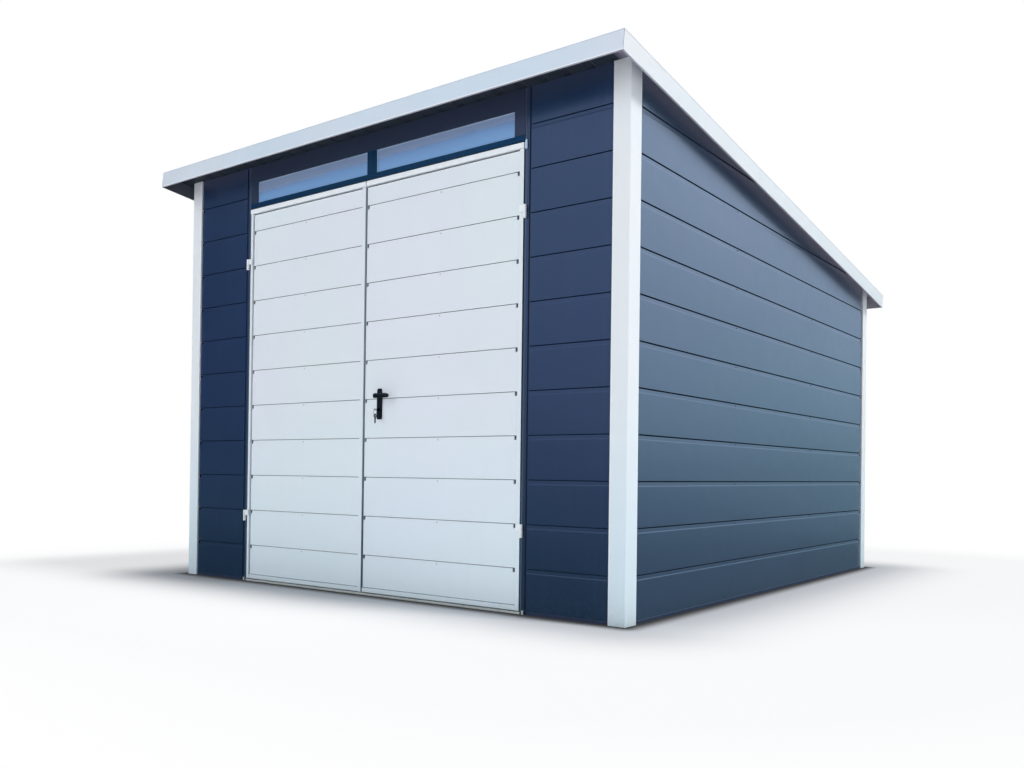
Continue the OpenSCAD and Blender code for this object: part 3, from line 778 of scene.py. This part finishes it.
# %% [markdown]
# ## Cladding
# A wall is a stack of level courses, 200 mm apart. Each course's lower edge is rounded and
# hangs over a shadow gap. The course below has its top edge pressed back in a shallow band,
# with a small crease where the band ends. One closed section with all the gaps in it, drawn
# once for a wall and lofted along it, gives exactly that, with a plain pale inside. Where the
# courses end against a post, the band is pressed deeper in a short nip, so the loft passes
# through a second section there.

# %% Wall section
COURSE = 0.200
FIRST_JOINT = 0.205
joints = [FIRST_JOINT + COURSE * i for i in range(11)]


def wall_section(low, high, thick, gap, nip=0):
    """Outline (out, up) of a wall: outside at 0, inside at -thick. nip lowers the courses' tops."""
    deep, band, step, back = 12 * MM, 15 * MM, 6 * MM, 2 * MM
    corners = [(0, low, 0)]
    inner = []
    for joint in joints:
        if not low + 0.05 < joint < high - 0.03:
            continue
        under = joint - gap
        corners += [(0, under - band - step, 0), (-back, under - band, 1 * MM),
                    (-back - 0.4 * MM, under - nip * 0.7, 0.8 * MM), (-deep, under - nip * 0.7, 0),
                    (-deep, joint + gap, 0), (0, joint + gap, 1.6 * MM)]
        inner += [(-thick, joint - 3 * MM, 0), (-thick + 2 * MM, joint, 0), (-thick, joint + 3 * MM, 0)]
    corners += [(0, high, 0), (-thick, high, 0)] + inner[::-1] + [(-thick, low, 0)]
    return rounded(corners)


def nipped_bar(start, end, plain, nipped, width, place, cuts=(), rim=0.0, far=True):
    """A bar whose outline is the nipped one over a short width at its start, and at its far end."""
    soft = 0.5 * MM
    stations = [(start, plain), (start + rim, plain)] if rim else []
    stations += [(start + rim + soft, nipped), (start + rim + width, nipped),
                 (start + rim + width + soft, plain)]
    if far:
        stations += [(end - rim - width - soft, plain), (end - rim - width, nipped),
                     (end - rim - (soft if rim else 0), nipped)]
    if rim or not far:
        stations += [(end - rim, plain), (end, plain)][0 if far else 1:]
    return bar(stations, place, cuts)


print("joints at", [round(j, 3) for j in joints])


# %% Walls
OVER_POST = 4 * MM
SHORT_OF_POST = 0.2 * MM
NIP_WIDTH = 16 * MM
FRONT_GAP, SIDE_GAP = 1.5 * MM, 2.4 * MM


def clad_wall(node, axis, sign, outside, gap, longer=(0, 0), nip=0):
    """Replaces a wall's slab by courses: axis 0 for a wall that faces along X, 1 along Y."""
    low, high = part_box(node)
    face = (high if sign > 0 else low)[axis]
    thick = (high - low)[axis]
    run = 1 - axis
    start, end = low[run] - longer[0] + SHORT_OF_POST, high[run] + longer[1] - SHORT_OF_POST
    top = high.z + OVERLONG
    plain = wall_section(low.z, top, thick, gap)

    def place(out, up, t):
        point = Vector((t, t, up))
        point[axis] = face + sign * out
        return point

    def depth(f):
        return sign * (face - centre(f)[axis])

    def gap_face(f):
        return abs(f.normal[run]) < 0.5 and 3 * MM < depth(f) < thick - 6 * MM

    def nip_face(f):
        from_end = min(centre(f)[run] - start, end - centre(f)[run])
        in_depth = 1 * MM < depth(f) < thick - 6 * MM
        return abs(f.normal[run]) > 0.3 and in_depth and 0.5 * MM < from_end < 40 * MM

    if nip:
        nipped = wall_section(low.z, top, thick, gap, nip)
        main = nipped_bar(start, end, plain, nipped, NIP_WIDTH, place, EAVES_CUT, rim=1 * MM, far=axis == 0)
    else:
        main = bar([(start, plain), (end, plain)], place, EAVES_CUT)
    painted(main, 2, lambda f: gap_face(f) or nip_face(f))
    painted(main, 1, lambda f: -sign * f.normal[axis] > 0.5 and depth(f) > thick - 4 * MM)
    piece(node + "_courses", [main], [outside, inner_coat, joint_navy], "shell", [node])


clad_wall("front_wall_left", 1, -1, navy, FRONT_GAP, (0, OVER_POST), 22 * MM)
clad_wall("front_wall_right", 1, -1, navy, FRONT_GAP, (OVER_POST, 0))
clad_wall("left_wall", 0, -1, navy_painted_lighter, SIDE_GAP, nip=20 * MM)
clad_wall("right_wall", 0, 1, navy_painted_lighter, SIDE_GAP, nip=20 * MM)
clad_wall("back_wall", 1, 1, navy_painted_lighter, SIDE_GAP)

# %% [markdown]
# ## Wall screws
# The side walls' courses are held by self-drilling screws where a stud stands behind them, in
# the pressed band just under each joint. A screw is a rubber washer with a small hexagon head.

# %% Screws
WALL_SCREW, ROOF_SCREW, LEAF_SCREW = 3.8 * MM, 7 * MM, 3 * MM
UNDER_JOINT = 10 * MM


def screw_parts(place, radius, steps=12):
    """A washer and a hexagon head. The head's faces get the second material."""
    washer = turned([(0, -1 * MM), (radius, -1 * MM), (radius, 0.6 * MM), (radius * 0.8, 1.5 * MM),
                     (0, 1.5 * MM)], place, steps)
    hexagon = turned([(0, 1 * MM), (radius * 0.55, 1 * MM), (radius * 0.55, 3 * MM),
                      (radius * 0.42, 3.6 * MM), (0, 3.6 * MM)], place, 6)
    return [washer, painted(hexagon, 1)]


stud_y = -FRONT_Y / 3
screw_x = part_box("right_wall")[1].x - 2.2 * MM
parts = []
for joint in joints:
    for side in (-1, 1):
        for y in (-stud_y, stud_y):
            if joint <= ROOF_Z - math.tan(PITCH) * (y - FRONT_Y) - 0.05:
                parts += screw_parts(
                    lambda a, b, h: Vector((side * screw_x + side * h, y + a, joint - UNDER_JOINT + b)),
                    WALL_SCREW)
piece("wall_screws", parts, [navy_trim, navy_painted_lighter], "shell")

# %% [markdown]
# ## Corner posts
# A corner post is one folded sheet: two broad faces with a round fold between them, and a
# hem at each free edge. The hem stands a little proud and catches the light as a thin bright line,
# so the section has it as a raised strip with round edges, and its faces are painted a brighter
# white, a painted highlight.

# %% Corner posts
def corner_post(node, side, end):
    """Drawn in from the outer corner along X and Y, and cut off along the roof."""
    low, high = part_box(node)
    corner_x, corner_y = (low.x, high.x)[side > 0], (low.y, high.y)[end > 0]
    wide, deep = high.x - low.x, high.y - low.y
    hem, rise = 4.5 * MM, 0.8 * MM
    section = rounded([
        (0, 0, 6 * MM),
        (wide - hem - rise, 0, 0), (wide - hem, -rise, 0.6 * MM), (wide, -rise, 1.6 * MM), (wide, deep, 0),
        (-rise, deep, 1.6 * MM), (-rise, deep - hem, 0.6 * MM), (0, deep - hem - rise, 0),
    ], steps=5)

    def on_hem(f):
        a, b = side * (corner_x - centre(f).x), end * (corner_y - centre(f).y)
        at_edge = (a > wide - 6 * MM and b < 1 * MM) or (b > deep - 6 * MM and a < 1 * MM)
        return abs(f.normal.z) < 0.5 and at_edge

    post = bar([(0, section), (ROOF_Z + OVERLONG, section)],
               lambda a, b, t: Vector((corner_x - side * a, corner_y - end * b, t)), EAVES_CUT)
    # Painted highlight on the hems.
    painted(post, 1, on_hem)
    piece(node + "_folded", [post], [white_trim, painted_highlight_white], "shell", [node])


for side, side_name in ((-1, "left"), (1, "right")):
    for end, end_name in ((-1, "front"), (1, "back")):
        corner_post(f"corner_post_{end_name}_{side_name}", side, end)

# %% [markdown]
# ## Fascia
# Round the roof runs a folded white strip. Its face hides the ends of the roof sheet, a flange
# lies on the roof, and a lip turns in below, where it stiffens the edge. The corners are
# mitred, and their cut faces are painted grey as painted shade in the seams. The lower edge is
# hemmed, and the hem is painted brighter, a painted highlight for its thin bright line.

# %% Fascia section
DROP, LIP, THICK, FLANGE, RISE, HEM = 76 * MM, 10 * MM, 2 * MM, 50 * MM, 14 * MM, 4.5 * MM
SEAT = 0.05 * MM
OVERHANG, SIDE_OVERHANG = 0.180, 0.063
MITRE_GAP = 0.7 * MM
fascia_outline = rounded([
    (0, -DROP, 1.8 * MM), (LIP, -DROP, 0.8 * MM), (LIP, -DROP + THICK, 0.8 * MM),
    (THICK + 0.8 * MM, -DROP + THICK, 0.6 * MM), (THICK + 0.8 * MM, RISE - THICK, 0.8 * MM),
    (FLANGE, RISE - THICK, 0), (FLANGE, RISE, 0), (0, RISE, 2.0 * MM),
    (0, RISE - 4 * MM, 0.5 * MM), (0.8 * MM, RISE - 5 * MM, 0), (0.8 * MM, -DROP + HEM + 1 * MM, 0),
    (0, -DROP + HEM, 0.5 * MM),
])
roof_top = (-OVERHANG + DROP * math.sin(PITCH)) / math.cos(PITCH)
roof_foot = (2 * -FRONT_Y + OVERHANG - RISE * math.sin(PITCH)) / math.cos(PITCH)
roof_side = post_high.x + SIDE_OVERHANG


def on_roof(x, down, height):
    """A point on the roof: across, down the slope from the front face, and off the roof."""
    return ROOF_START + Vector((x, 0, SEAT)) - UP_SLOPE * down + OFF_ROOF * height


# %% Fascia lengths
def mitre(x, down, nx, ndown):
    """A cut across the roof at (x, down), square to the direction (nx, ndown), with a hair's gap."""
    normal = (Vector((nx, 0, 0)) - UP_SLOPE * ndown).normalized()
    return on_roof(x, down, 0) - normal * MITRE_GAP, normal


def fascia(name, look, back, inward, place, start, end, cuts):
    part = bar([(start, fascia_outline), (end, fascia_outline)], place, cuts)

    def height(f):
        return (centre(f) - ROOF_START).dot(OFF_ROOF)

    def on_back(f):
        return f.normal.dot(inward) > 0.5 or f.normal.dot(OFF_ROOF) < -0.6

    # Painted highlight on the hem. The back's colour on the mitre cut faces is painted shade in the seams.
    painted(part, 1, lambda f: -DROP - 1 * MM < height(f) < -DROP + HEM + 0.5 * MM)
    painted(part, 2, lambda f: height(f) < RISE - 1 * MM and on_back(f))
    painted(part, 2, lambda f: abs(f.normal.x) > 0.4 and abs(f.normal.dot(UP_SLOPE)) > 0.4)
    piece(name + "_folded", [part], [look, painted_highlight_white, back], "shell", [name])


s0, s1, w = roof_top, roof_foot, roof_side
fascia("fascia_front", white_fascia_painted_shade, sheet_back, -UP_SLOPE,
       lambda a, b, t: on_roof(t, s0 + a, b), -w, w, [mitre(w, s0, 1, 1), mitre(-w, s0, -1, 1)])
fascia("fascia_back", side_fascia, sheet_back, UP_SLOPE,
       lambda a, b, t: on_roof(t, s1 - a, b), -w, w, [mitre(w, s1, 1, -1), mitre(-w, s1, -1, -1)])
fascia("fascia_right", side_fascia, sheet_back, Vector((-1, 0, 0)),
       lambda a, b, t: on_roof(w - a, t, b), s0, s1, [mitre(w, s0, -1, -1), mitre(w, s1, -1, 1)])
fascia("fascia_left", side_fascia, dark_back_painted_shade, Vector((1, 0, 0)),
       lambda a, b, t: on_roof(-w + a, t, b), s0, s1, [mitre(-w, s0, 1, -1), mitre(-w, s1, 1, 1)])

# %% [markdown]
# ## Roof screws
# The ribbed sheet is screwed down through its pans at each purlin and beam. The rows of screws
# with their washers are all that breaks up the roof from above.

# %% Roof screws
RIB_PITCH, RIB_WIDTH = 0.120, 0.056
SCREW_ROWS = (0.10, 0.87, 1.73, 2.58, 3.34)
rib_count = int((2 * (roof_side - THICK) - RIB_WIDTH) // RIB_PITCH)
rib_start = -((rib_count - 1) * RIB_PITCH + RIB_WIDTH) / 2
parts = []
for row in SCREW_ROWS:
    for i in range(0, rib_count - 1, 2):
        x = rib_start + RIB_WIDTH + 0.012 + i * RIB_PITCH
        parts += screw_parts(lambda a, b, h: on_roof(x + a, row + b, 2 * MM + h), ROOF_SCREW)
piece("roof_screws", parts, [rubber, zinc], "shell")

# %% [markdown]
# ## Door posts
# The doorway's dark posts are rolled profiles. Next to the leaf comes a round-edged lip, then
# a strip in the plane of the wall, and then a slope back into a narrow dark groove, where the
# post meets the courses. The lip is painted a lighter navy, brighter towards the ground, as a
# painted highlight.

# %% Door posts
wall_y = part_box("front_wall_right")[0].y
for side, side_name in ((-1, "left"), (1, "right")):
    node = "door_post_" + side_name
    low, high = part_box(node)
    inner_x, outer_x = sorted((abs(low.x), abs(high.x)))
    section = rounded([
        (inner_x, high.y, 0), (outer_x - OVER_POST, high.y, 0), (outer_x - OVER_POST, wall_y + 5 * MM, 0),
        (inner_x + 29 * MM, wall_y + 5 * MM, 1 * MM), (inner_x + 24 * MM, wall_y + 0.5 * MM, 2 * MM),
        (inner_x + 11 * MM, wall_y + 0.5 * MM, 1 * MM), (inner_x + 8 * MM, low.y, 1.5 * MM),
        (inner_x, low.y, 3.5 * MM),
    ])
    part = bar([(0, section), (ROOF_Z + OVERLONG, section)],
               lambda a, b, t: Vector((side * a, b, t)), EAVES_CUT)

    def across(f):
        return abs(centre(f).x) - inner_x

    # Painted highlight: the lip keeps the lighter lip navy, and the strip beyond it gets the walls' navy.
    painted(part, 1, lambda f: 8.5 * MM < across(f) and f.normal.y < -0.2)
    painted(part, 2, lambda f: 23 * MM < across(f) < 27.5 * MM and f.normal.y < -0.05)
    piece(node + "_rolled", [part], [navy_lip, navy, joint_navy], "shell", [node])

# %% [markdown]
# ## Leaves
# Each leaf is a frame of round-edged tube, with a drip cap over its top, and a panel of
# the same courses as the walls, only shallower pressed and all white. The drip cap is painted a
# brighter white, a painted highlight. On the right leaf the courses run over the meeting stile,
# as far as the gap between the leaves. On the left leaf they stop short of the outer stile, and
# a rubber gasket shows between. The outward face of each leaf's right stile is painted as the
# shaded gap beside it: dark grey at the right leaf's outer edge, a blue-grey at the left leaf's
# meeting edge. Where the courses start, their top edges are nipped off in small dark notches.
# As on the walls, the panel is lofted through a second section there, which makes the notches
# with the panel itself.

# %% Leaf panel section
def leaf_section(low, high, thick, nip):
    """Outline (out, up) of a leaf's panel. nip lowers the courses' top edges."""
    half, deep, band = 1.35 * MM, 7 * MM, 24 * MM
    corners = [(0, low, 1 * MM)]
    for joint in joints:
        if not low + 0.05 < joint < high - 0.05:
            continue
        under = joint - half
        corners += [(0, under - band, 0), (-1.2 * MM, under - nip, 0.8 * MM), (-deep, under - nip, 0),
                    (-deep, joint + half, 0), (0, joint + half, 1.2 * MM)]
    corners += [(0, high, 1.5 * MM), (-thick, high, 0), (-thick, low, 0)]
    return rounded(corners)


# %% Leaf frame
STILE, TOP_RAIL, BOTTOM_RAIL = 24 * MM, 26 * MM, 22 * MM
OUTER_STILE = 18 * MM


def upright(x0, x1, low, high, top):
    """An upright of the leaf's frame, from its foot up to a height."""
    wide, depth = x1 - x0, high.y - low.y
    soft = min(2.2 * MM, wide * 0.45)
    outline = rounded([(0, 0, soft), (wide, 0, soft), (wide, depth, 0.8 * MM), (0, depth, 0.8 * MM)])
    return bar([(low.z, outline), (top, outline)], lambda a, b, t: Vector((x0 + a, low.y + b, t)))


def rail(x0, x1, z0, z1, front, back, soft=1.8 * MM):
    outline = rounded([(z0, front, soft), (z1, front, soft), (z1, back, 1 * MM), (z0, back, 1 * MM)])
    return bar([(x0, outline), (x1, outline)], lambda a, b, t: Vector((t, b, a)))


def leaf_frame(name, lap, low, high, left_in, right_in, panel_back):
    """Two uprights, a foot rail and a drip cap. Under a lap, the meeting stile lies behind the panel."""
    under_cap = high.z - TOP_RAIL
    if lap:
        behind = Vector((low.x, panel_back, low.z))
        left_stile = upright(low.x + 1 * MM, low.x + STILE, behind, high, under_cap - 2 * MM)
    else:
        left_stile = upright(low.x, left_in, low, high, under_cap - 2 * MM)
    right_stile = upright(right_in, high.x, low, high, under_cap - 2 * MM)
    cap = rail(low.x, high.x, under_cap, high.z, low.y - 3 * MM, high.y, 3.2 * MM)
    foot = rail(left_in + 0.5 * MM, right_in - 0.5 * MM, low.z, low.z + BOTTOM_RAIL, low.y + 1 * MM, high.y)
    # Painted shade: the right stile's outward face gets the grey of the shaded gap beside it, and the cap the
    # painted highlight white.
    parts = [left_stile, painted(right_stile, 3 if lap else 4, lambda f: f.normal.x > 0.75),
             painted(cap, 2), foot]
    piece(name + "_frame", parts, [white_door, joint_grey, painted_highlight_white, edge_painted_shade, seal_grey_and_gap_shade], name,
          [name + "_stiles", name + "_rails"])
    return under_cap


# %% Leaf courses
PANEL_GAP = 4.5 * MM
GASKET = 6 * MM
NIP_DEEP, NIP_LONG = 17 * MM, 13 * MM


def leaf(name, lap):
    """Frame and panel of a leaf. With a lap, the courses run over the meeting stile."""
    boxes = [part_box(f"{name}_{part}") for part in ("stiles", "rails")]
    low, high = Vector(map(min, *[box[0] for box in boxes])), Vector(map(max, *[box[1] for box in boxes]))
    panel_low, panel_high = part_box(name + "_panel")
    left_in, right_in = low.x if lap else low.x + OUTER_STILE, high.x - STILE
    under_cap = leaf_frame(name, lap, low, high, left_in, right_in, panel_high.y - 2 * MM)
    thick = panel_high.y - panel_low.y
    x0, x1 = left_in if lap else left_in + GASKET, right_in - PANEL_GAP
    z0, z1 = panel_low.z + 3 * MM, panel_high.z - 7 * MM

    def place(out, up, t):
        return Vector((t, panel_low.y - out, up))

    def depth(f):
        return centre(f).y - panel_low.y

    plain, nipped = leaf_section(z0, z1, thick, 0), leaf_section(z0, z1, thick, NIP_DEEP)
    panel = nipped_bar(x0, x1, plain, nipped, NIP_LONG, place, far=lap)
    painted(panel, 1, lambda f: abs(f.normal.x) < 0.5 and 2.6 * MM < depth(f) < 12 * MM)
    painted(panel, 2, lambda f: 1.5 * MM < depth(f) < 12 * MM and 0.5 * MM < centre(f).x - x0 < 18 * MM)
    strips = [panel]
    for a0, a1, b0, b1, look in ((left_in, x0 + 0.9 * MM, panel_low.z, panel_high.z, 2),
                                 (x1 - 1 * MM, right_in, panel_low.z, panel_high.z, 1),
                                 (left_in, right_in, z1 - 1 * MM, under_cap + 0.5 * MM, 2),
                                 (left_in, right_in, panel_low.z - 0.5 * MM, z0 + 1 * MM, 1)):
        if a1 > a0 + 1 * MM:
            strip = [(-9 * MM, b0), (-9 * MM, b1), (1 * MM - thick, b1), (1 * MM - thick, b0)]
            strips.append(painted(bar([(a0, strip), (a1, strip)], place), look))
    piece(name + "_courses", strips, [white_door, joint_grey, rubber], name, [name + "_panel"])
    return panel_low, panel_high


panels = {"left_leaf": leaf("left_leaf", False), "right_leaf": leaf("right_leaf", True)}

# %% Leaf screws
for name, (low, high) in panels.items():
    middle = (low.x + high.x) / 2
    parts = []
    for joint in joints[:10]:
        z = joint - 13 * MM
        parts += screw_parts(lambda a, b, h: Vector((middle + a, low.y + 1 * MM - h, z + b)), LEAF_SCREW)
    piece(name + "_screws", parts, [joint_grey, white_door], name)

# %% Meeting seal
low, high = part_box("right_leaf_stiles")
SEAL_SHORT, SEAL_BACK = 0.004, 0.012
seal = rounded(mm([(0, 0, 1), (6, 0, 2), (6, 6, 2), (0, 6, 1)]))
part = bar([(low.z + SEAL_SHORT, seal), (high.z - SEAL_SHORT, seal)],
           lambda a, b, t: Vector((low.x - a, low.y + SEAL_BACK + b, t)))
# The seal takes the blue-grey that is also the meeting gap's painted shade.
piece("meeting_seal", [part], [seal_grey_and_gap_shade], "right_leaf")

# %% [markdown]
# ## Handle
# A long black plate, a little narrower at its top, carries the lever and the lock. The lever
# comes straight out, bends over and runs to the right to a rounded tip. A plate and a lever of
# the same kind are on the inside, and a spindle joins the two levers.

# %% Handle plates
plate_low, plate_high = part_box("handle_plates")
lever_low, lever_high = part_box("lever_handle")
lever_z = (lever_low.z + lever_high.z) / 2
handle_x = (plate_low.x + plate_high.x) / 2
face_y, back_y = [corner.y for corner in panels["right_leaf"]]


def by_handle(start, sign, z=0):
    """A place that counts across and up from the handle's line, and outwards from start."""
    return lambda a, b, out: Vector((handle_x + a, start + sign * out, z + b))


def shrink(outline, by):
    """Pulls an outline in by about that much, towards its middle."""
    def pulled(values):
        middle = (min(values) + max(values)) / 2
        keep = 1 - by / (max(values) - middle)
        return [middle + (value - middle) * keep for value in values]
    return list(zip(pulled([a for a, b in outline]), pulled([b for a, b in outline])))


half = (plate_high.x - plate_low.x) / 2
plate_outline = rounded([
    (-half * 0.96, plate_low.z, 7 * MM), (half * 0.96, plate_low.z, 7 * MM),
    (half, lever_z, 40 * MM), (half * 0.80, plate_high.z, 8 * MM),
    (-half * 0.80, plate_high.z, 8 * MM), (-half, lever_z, 40 * MM),
], steps=6)
thick = face_y - plate_low.y
plate_sections = [(0, plate_outline), (thick - 3 * MM, plate_outline),
                  (thick - 1 * MM, shrink(plate_outline, 0.9 * MM)), (thick, shrink(plate_outline, 2.6 * MM))]
plug = mm([(0, 0.1), (0.8, 0.1), (1.2, 0.7), (3.4, 0.5), (3.8, -0.5), (0, -0.5)])
parts = []
for start, sign in ((face_y, -1), (back_y, 1)):
    parts.append(bar(plate_sections, by_handle(start, sign)))
    for z in (plate_high.z - 10 * MM, plate_low.z + 11 * MM):
        parts.append(turned(plug, by_handle(start + sign * thick, sign, z), 16))
piece("handle_plates_moulded", parts, [black_handle], "right_leaf", ["handle_plates"])

# %% Levers
NECK = mm([(0, 0.6), (9.5, 0.6), (9.5, 10), (8.4, 11.5), (7.2, 13), (7.0, 30), (0, 30)])
LEVER_OUT = 49 * MM
LINE_LONG, LINE_OUT = 110, 58
LEVER_LINE = ((0, 24), (0, 40), (1.5, 49), (7, 56), (16, 58), (34, 58.5), (60, 58.5), (85, 57), (98, 53),
              (106, 44), (109, 36), (109.5, 33))
LEVER_SIZES = ((8, 7), (9, 7), (11, 7.2), (12.4, 7.4), (12.6, 7), (11.6, 6.4), (11.4, 6.4), (11.6, 6.6),
               (11.8, 6.6), (10.6, 6.2), (8.4, 5), (5, 3))


def lever(start, sign):
    """Neck, bend, grip and tip of one lever, out from the plate's face."""
    reach = lever_high.x - handle_x
    neck = turned(NECK, by_handle(start, sign, lever_z))
    points = [Vector((handle_x + x / LINE_LONG * reach,
                      start + sign * y * MM / LINE_OUT * LEVER_OUT / MM, lever_z)) for x, y in LEVER_LINE]
    return [neck, rod(points, mm(LEVER_SIZES), Vector((0, 0, 1)))]


spindle = turned(mm([(0, -29), (4, -29), (4, 1), (0, 1)]), by_handle(face_y, -1, lever_z), 16)
piece("levers_moulded", lever(face_y, -1) + lever(back_y, 1) + [spindle], [black_handle], "lever",
      ["lever_handle"], sharp=40)

# %% [markdown]
# ## Lock and keys
# The lock is a turned cylinder with a sunken face, on both sides of the leaf. The key in it is
# turned, so its flat round bow lies level. A wire ring hangs in the bow's hole and carries a
# second key with a cut blade. Bows and cylinders are turned, the ring is a closed loop of
# small circles, and the blade is a thin bar with its teeth drawn in the outline.

# %% Lock
lock_low, lock_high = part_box("lock_cylinder")
lock_z = (lock_low.z + lock_high.z) / 2
radius = (lock_high.z - lock_low.z) / 2
parts = []
for start, sign, depth in ((plate_low.y, -1, plate_low.y - lock_low.y),
                           (plate_high.y, 1, lock_high.y - plate_high.y)):
    profile = [(0, -0.5 * MM), (radius, -0.5 * MM), (radius, depth - 1 * MM), (radius - 1 * MM, depth),
               (radius - 2.4 * MM, depth), (radius - 2.6 * MM, depth - 0.6 * MM), (0, depth - 0.6 * MM)]
    parts.append(turned(profile, by_handle(start, sign, lock_z), 28))
piece("lock_cylinder_turned", parts, [key_metal], "right_leaf", ["lock_cylinder"])

# %% Key shapes
key_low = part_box("keys")[0]
BOW_R, RING_R, WIRE_R, KEY_THICK = 11 * MM, 11 * MM, 0.95 * MM, 2.4 * MM
bow_y = lock_low.y - BOW_R - 9 * MM


def key_bow(z, level):
    """A flat round bow with a hole for the ring. It lies level when its key is turned in the lock."""
    def place(a, b, h):
        return Vector((handle_x + b, bow_y + a, z + h) if level else (handle_x + h, bow_y + a, z + b))
    hole, rim, half = 3.4 * MM, 0.5 * MM, KEY_THICK / 2
    profile = [(hole, -half), (BOW_R - rim, -half), (BOW_R, -half + rim), (BOW_R, half - rim),
               (BOW_R - rim, half), (hole, half)]
    return turned(profile, place, 32, closed=True)


def flat_part(corners, half=KEY_THICK / 2):
    """A thin flat part in the key's plane, of corners (y, z, radius)."""
    outline = rounded(corners, 3)
    return bar([(-half, outline), (half, outline)], lambda a, b, t: Vector((handle_x + t, a, b)))


def wire_ring(z, count=40, around=8):
    ring = bmesh.new()
    loops = []
    for t in turns(count):
        point = Vector((handle_x + RING_R * math.sin(t), bow_y, z + RING_R * math.cos(t)))
        outward = (point - Vector((handle_x, bow_y, z))).normalized()
        aside = Vector((0, 1, 0))
        loops.append([ring.verts.new(point + (outward * math.cos(u) + aside * math.sin(u)) * WIRE_R)
                      for u in turns(around)])
    for k in range(count):
        one, two = loops[k], loops[(k + 1) % count]
        for j in range(around):
            ring.faces.new((one[j], one[(j + 1) % around], two[(j + 1) % around], two[j]))
    return sealed(ring)


# %% Keys on their ring
ring_z = lock_z - BOW_R - RING_R + 6 * MM
hang_z = ring_z - RING_R - BOW_R + 4 * MM
neck_y, neck_end = bow_y + BOW_R - 1.5 * MM, lock_low.y + 0.4 * MM
neck = flat_part([(neck_y, lock_z - 3 * MM, 0), (neck_end, lock_z - 3 * MM, 0),
                  (neck_end, lock_z + 3 * MM, 0), (neck_y, lock_z + 3 * MM, 0)])
top = hang_z - BOW_R + 1.5 * MM
blade = [(bow_y - 4 * MM, top, 0), (bow_y - 4 * MM, key_low.z + 3 * MM, 0.5 * MM),
         (bow_y - 1 * MM, key_low.z, 0.5 * MM), (bow_y + 2 * MM, key_low.z + 1 * MM, 0.3 * MM)]
for k, cut in enumerate((2.0, 0.6, 1.6, 0.2, 1.2)):
    blade += [(bow_y + (4 - cut) * MM, key_low.z + (4 + 4.6 * k) * MM, 0.2 * MM),
              (bow_y + 4 * MM, key_low.z + (6.3 + 4.6 * k) * MM, 0.2 * MM)]
blade += [(bow_y + 4 * MM, top, 0)]
parts = [key_bow(lock_z, True), painted(key_bow(hang_z, False), 1), wire_ring(ring_z), neck, flat_part(blade)]
piece("keys_cut", parts, [key_metal, bright_key_painted_light], "right_leaf", ["keys"])

# %% [markdown]
# ## Small fittings on the doorway
# At the head of the right door post sits a small white cap, and at the foot of each post a
# zinc tab. Thin beads hold the panes in their frames. The cap and the beads are painted a pale
# sky blue, a painted reflection.

# %% Cap and tabs
CAP_FOOT = 2.098
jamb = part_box("door_post_right")[0]
CAP_SHAPE = ((0, 1.5), (1.5, 4.4), (5, 6.4), (22, 6.8), (39, 5.6), (43, 3.8), (45, 1.2))
cap = rod([Vector((jamb.x + 8 * MM, jamb.y - 1 * MM, CAP_FOOT + z * MM)) for z, wide in CAP_SHAPE],
          [(wide * MM, wide * 0.7 * MM) for z, wide in CAP_SHAPE], Vector((1, 0, 0)))
tab = rounded(mm([(-5, -3, 1), (5, -3, 1), (5, 3, 0), (-5, 3, 0)]))
# The cap is painted the pale sky blue, a painted reflection.
parts = [painted(cap, 1)]
for side in (-1, 1):
    parts.append(bar([(0.001, tab), (0.019, tab)],
                     lambda a, b, t: Vector((side * (jamb.x + 16 * MM) + a, jamb.y + b, t))))
piece("doorway_fittings", parts, [bloomed_zinc, bead_painted_sky_blue], "shell")

# %% Glazing beads
BEAD = 3 * MM
bead = rounded([(0, 0, 0), (BEAD, 0, 0), (BEAD, -BEAD, 1.5 * MM), (0, -BEAD, 1.5 * MM)])
parts = []
for name in ("transom_glass_left", "transom_glass_right"):
    low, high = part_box(name)
    for z in (low.z, high.z - BEAD):
        parts.append(bar([(low.x, bead), (high.x, bead)], lambda a, b, t: Vector((t, low.y + b, z + a))))
    for x in (low.x, high.x - BEAD):
        parts.append(bar([(low.z + BEAD, bead), (high.z - BEAD, bead)],
                         lambda a, b, t: Vector((x + a, low.y + b, t))))
# The beads are painted the pale sky blue, a painted reflection.
piece("glazing_beads", parts, [bead_painted_sky_blue], "shell")

# %% [markdown]
# ## Solids that stay
# The rails, tubes, hinges and the roof sheet have the right shape already. They get a finish,
# and most get a small bevel with even normals, because no folded or drawn edge is a perfect
# knife. The roof sheet and the panes keep their edges.

# %% Finishes on the solids
def keep(names, material, width, steps=2):
    for name in names:
        obj = nodes[name]
        obj.data.materials.clear()
        obj.data.materials.append(material)
        if width:
            weld = obj.modifiers.new("weld", "WELD")
            weld.merge_threshold = 1e-5
            bevel = obj.modifiers.new("bevel", "BEVEL")
            bevel.width = width
            bevel.segments = steps
            bevel.limit_method = "ANGLE"
            bevel.angle_limit = math.radians(40)
            bevel.harden_normals = True
    print(material.name, "on", names)


# Painted light: the base rails, the transom stiles and the transom panel get the lighter trim navy.
keep(["base_rails", "transom_stiles", "transom_panel"], navy_trim, 1.2 * MM)
# Painted shade: the head and the mullion get the darker navy.
keep(["door_head", "transom_mullion"], navy_bright, 1.2 * MM)
keep(["door_sill"], bloomed_zinc, 1.5 * MM, 3)
keep(["wall_studs", "rafters", "front_beam", "back_beam", "purlins"], zinc, 2 * MM)
keep(["roof_sheet"], roof_coat, 0)
# The hinges get the painted highlight white.
keep(["frame_hinges_left", "frame_hinges_right", "left_leaf_hinges", "right_leaf_hinges"], painted_highlight_white,
     0.7 * MM)
keep(["transom_glass_left", "transom_glass_right"], pane, 0)
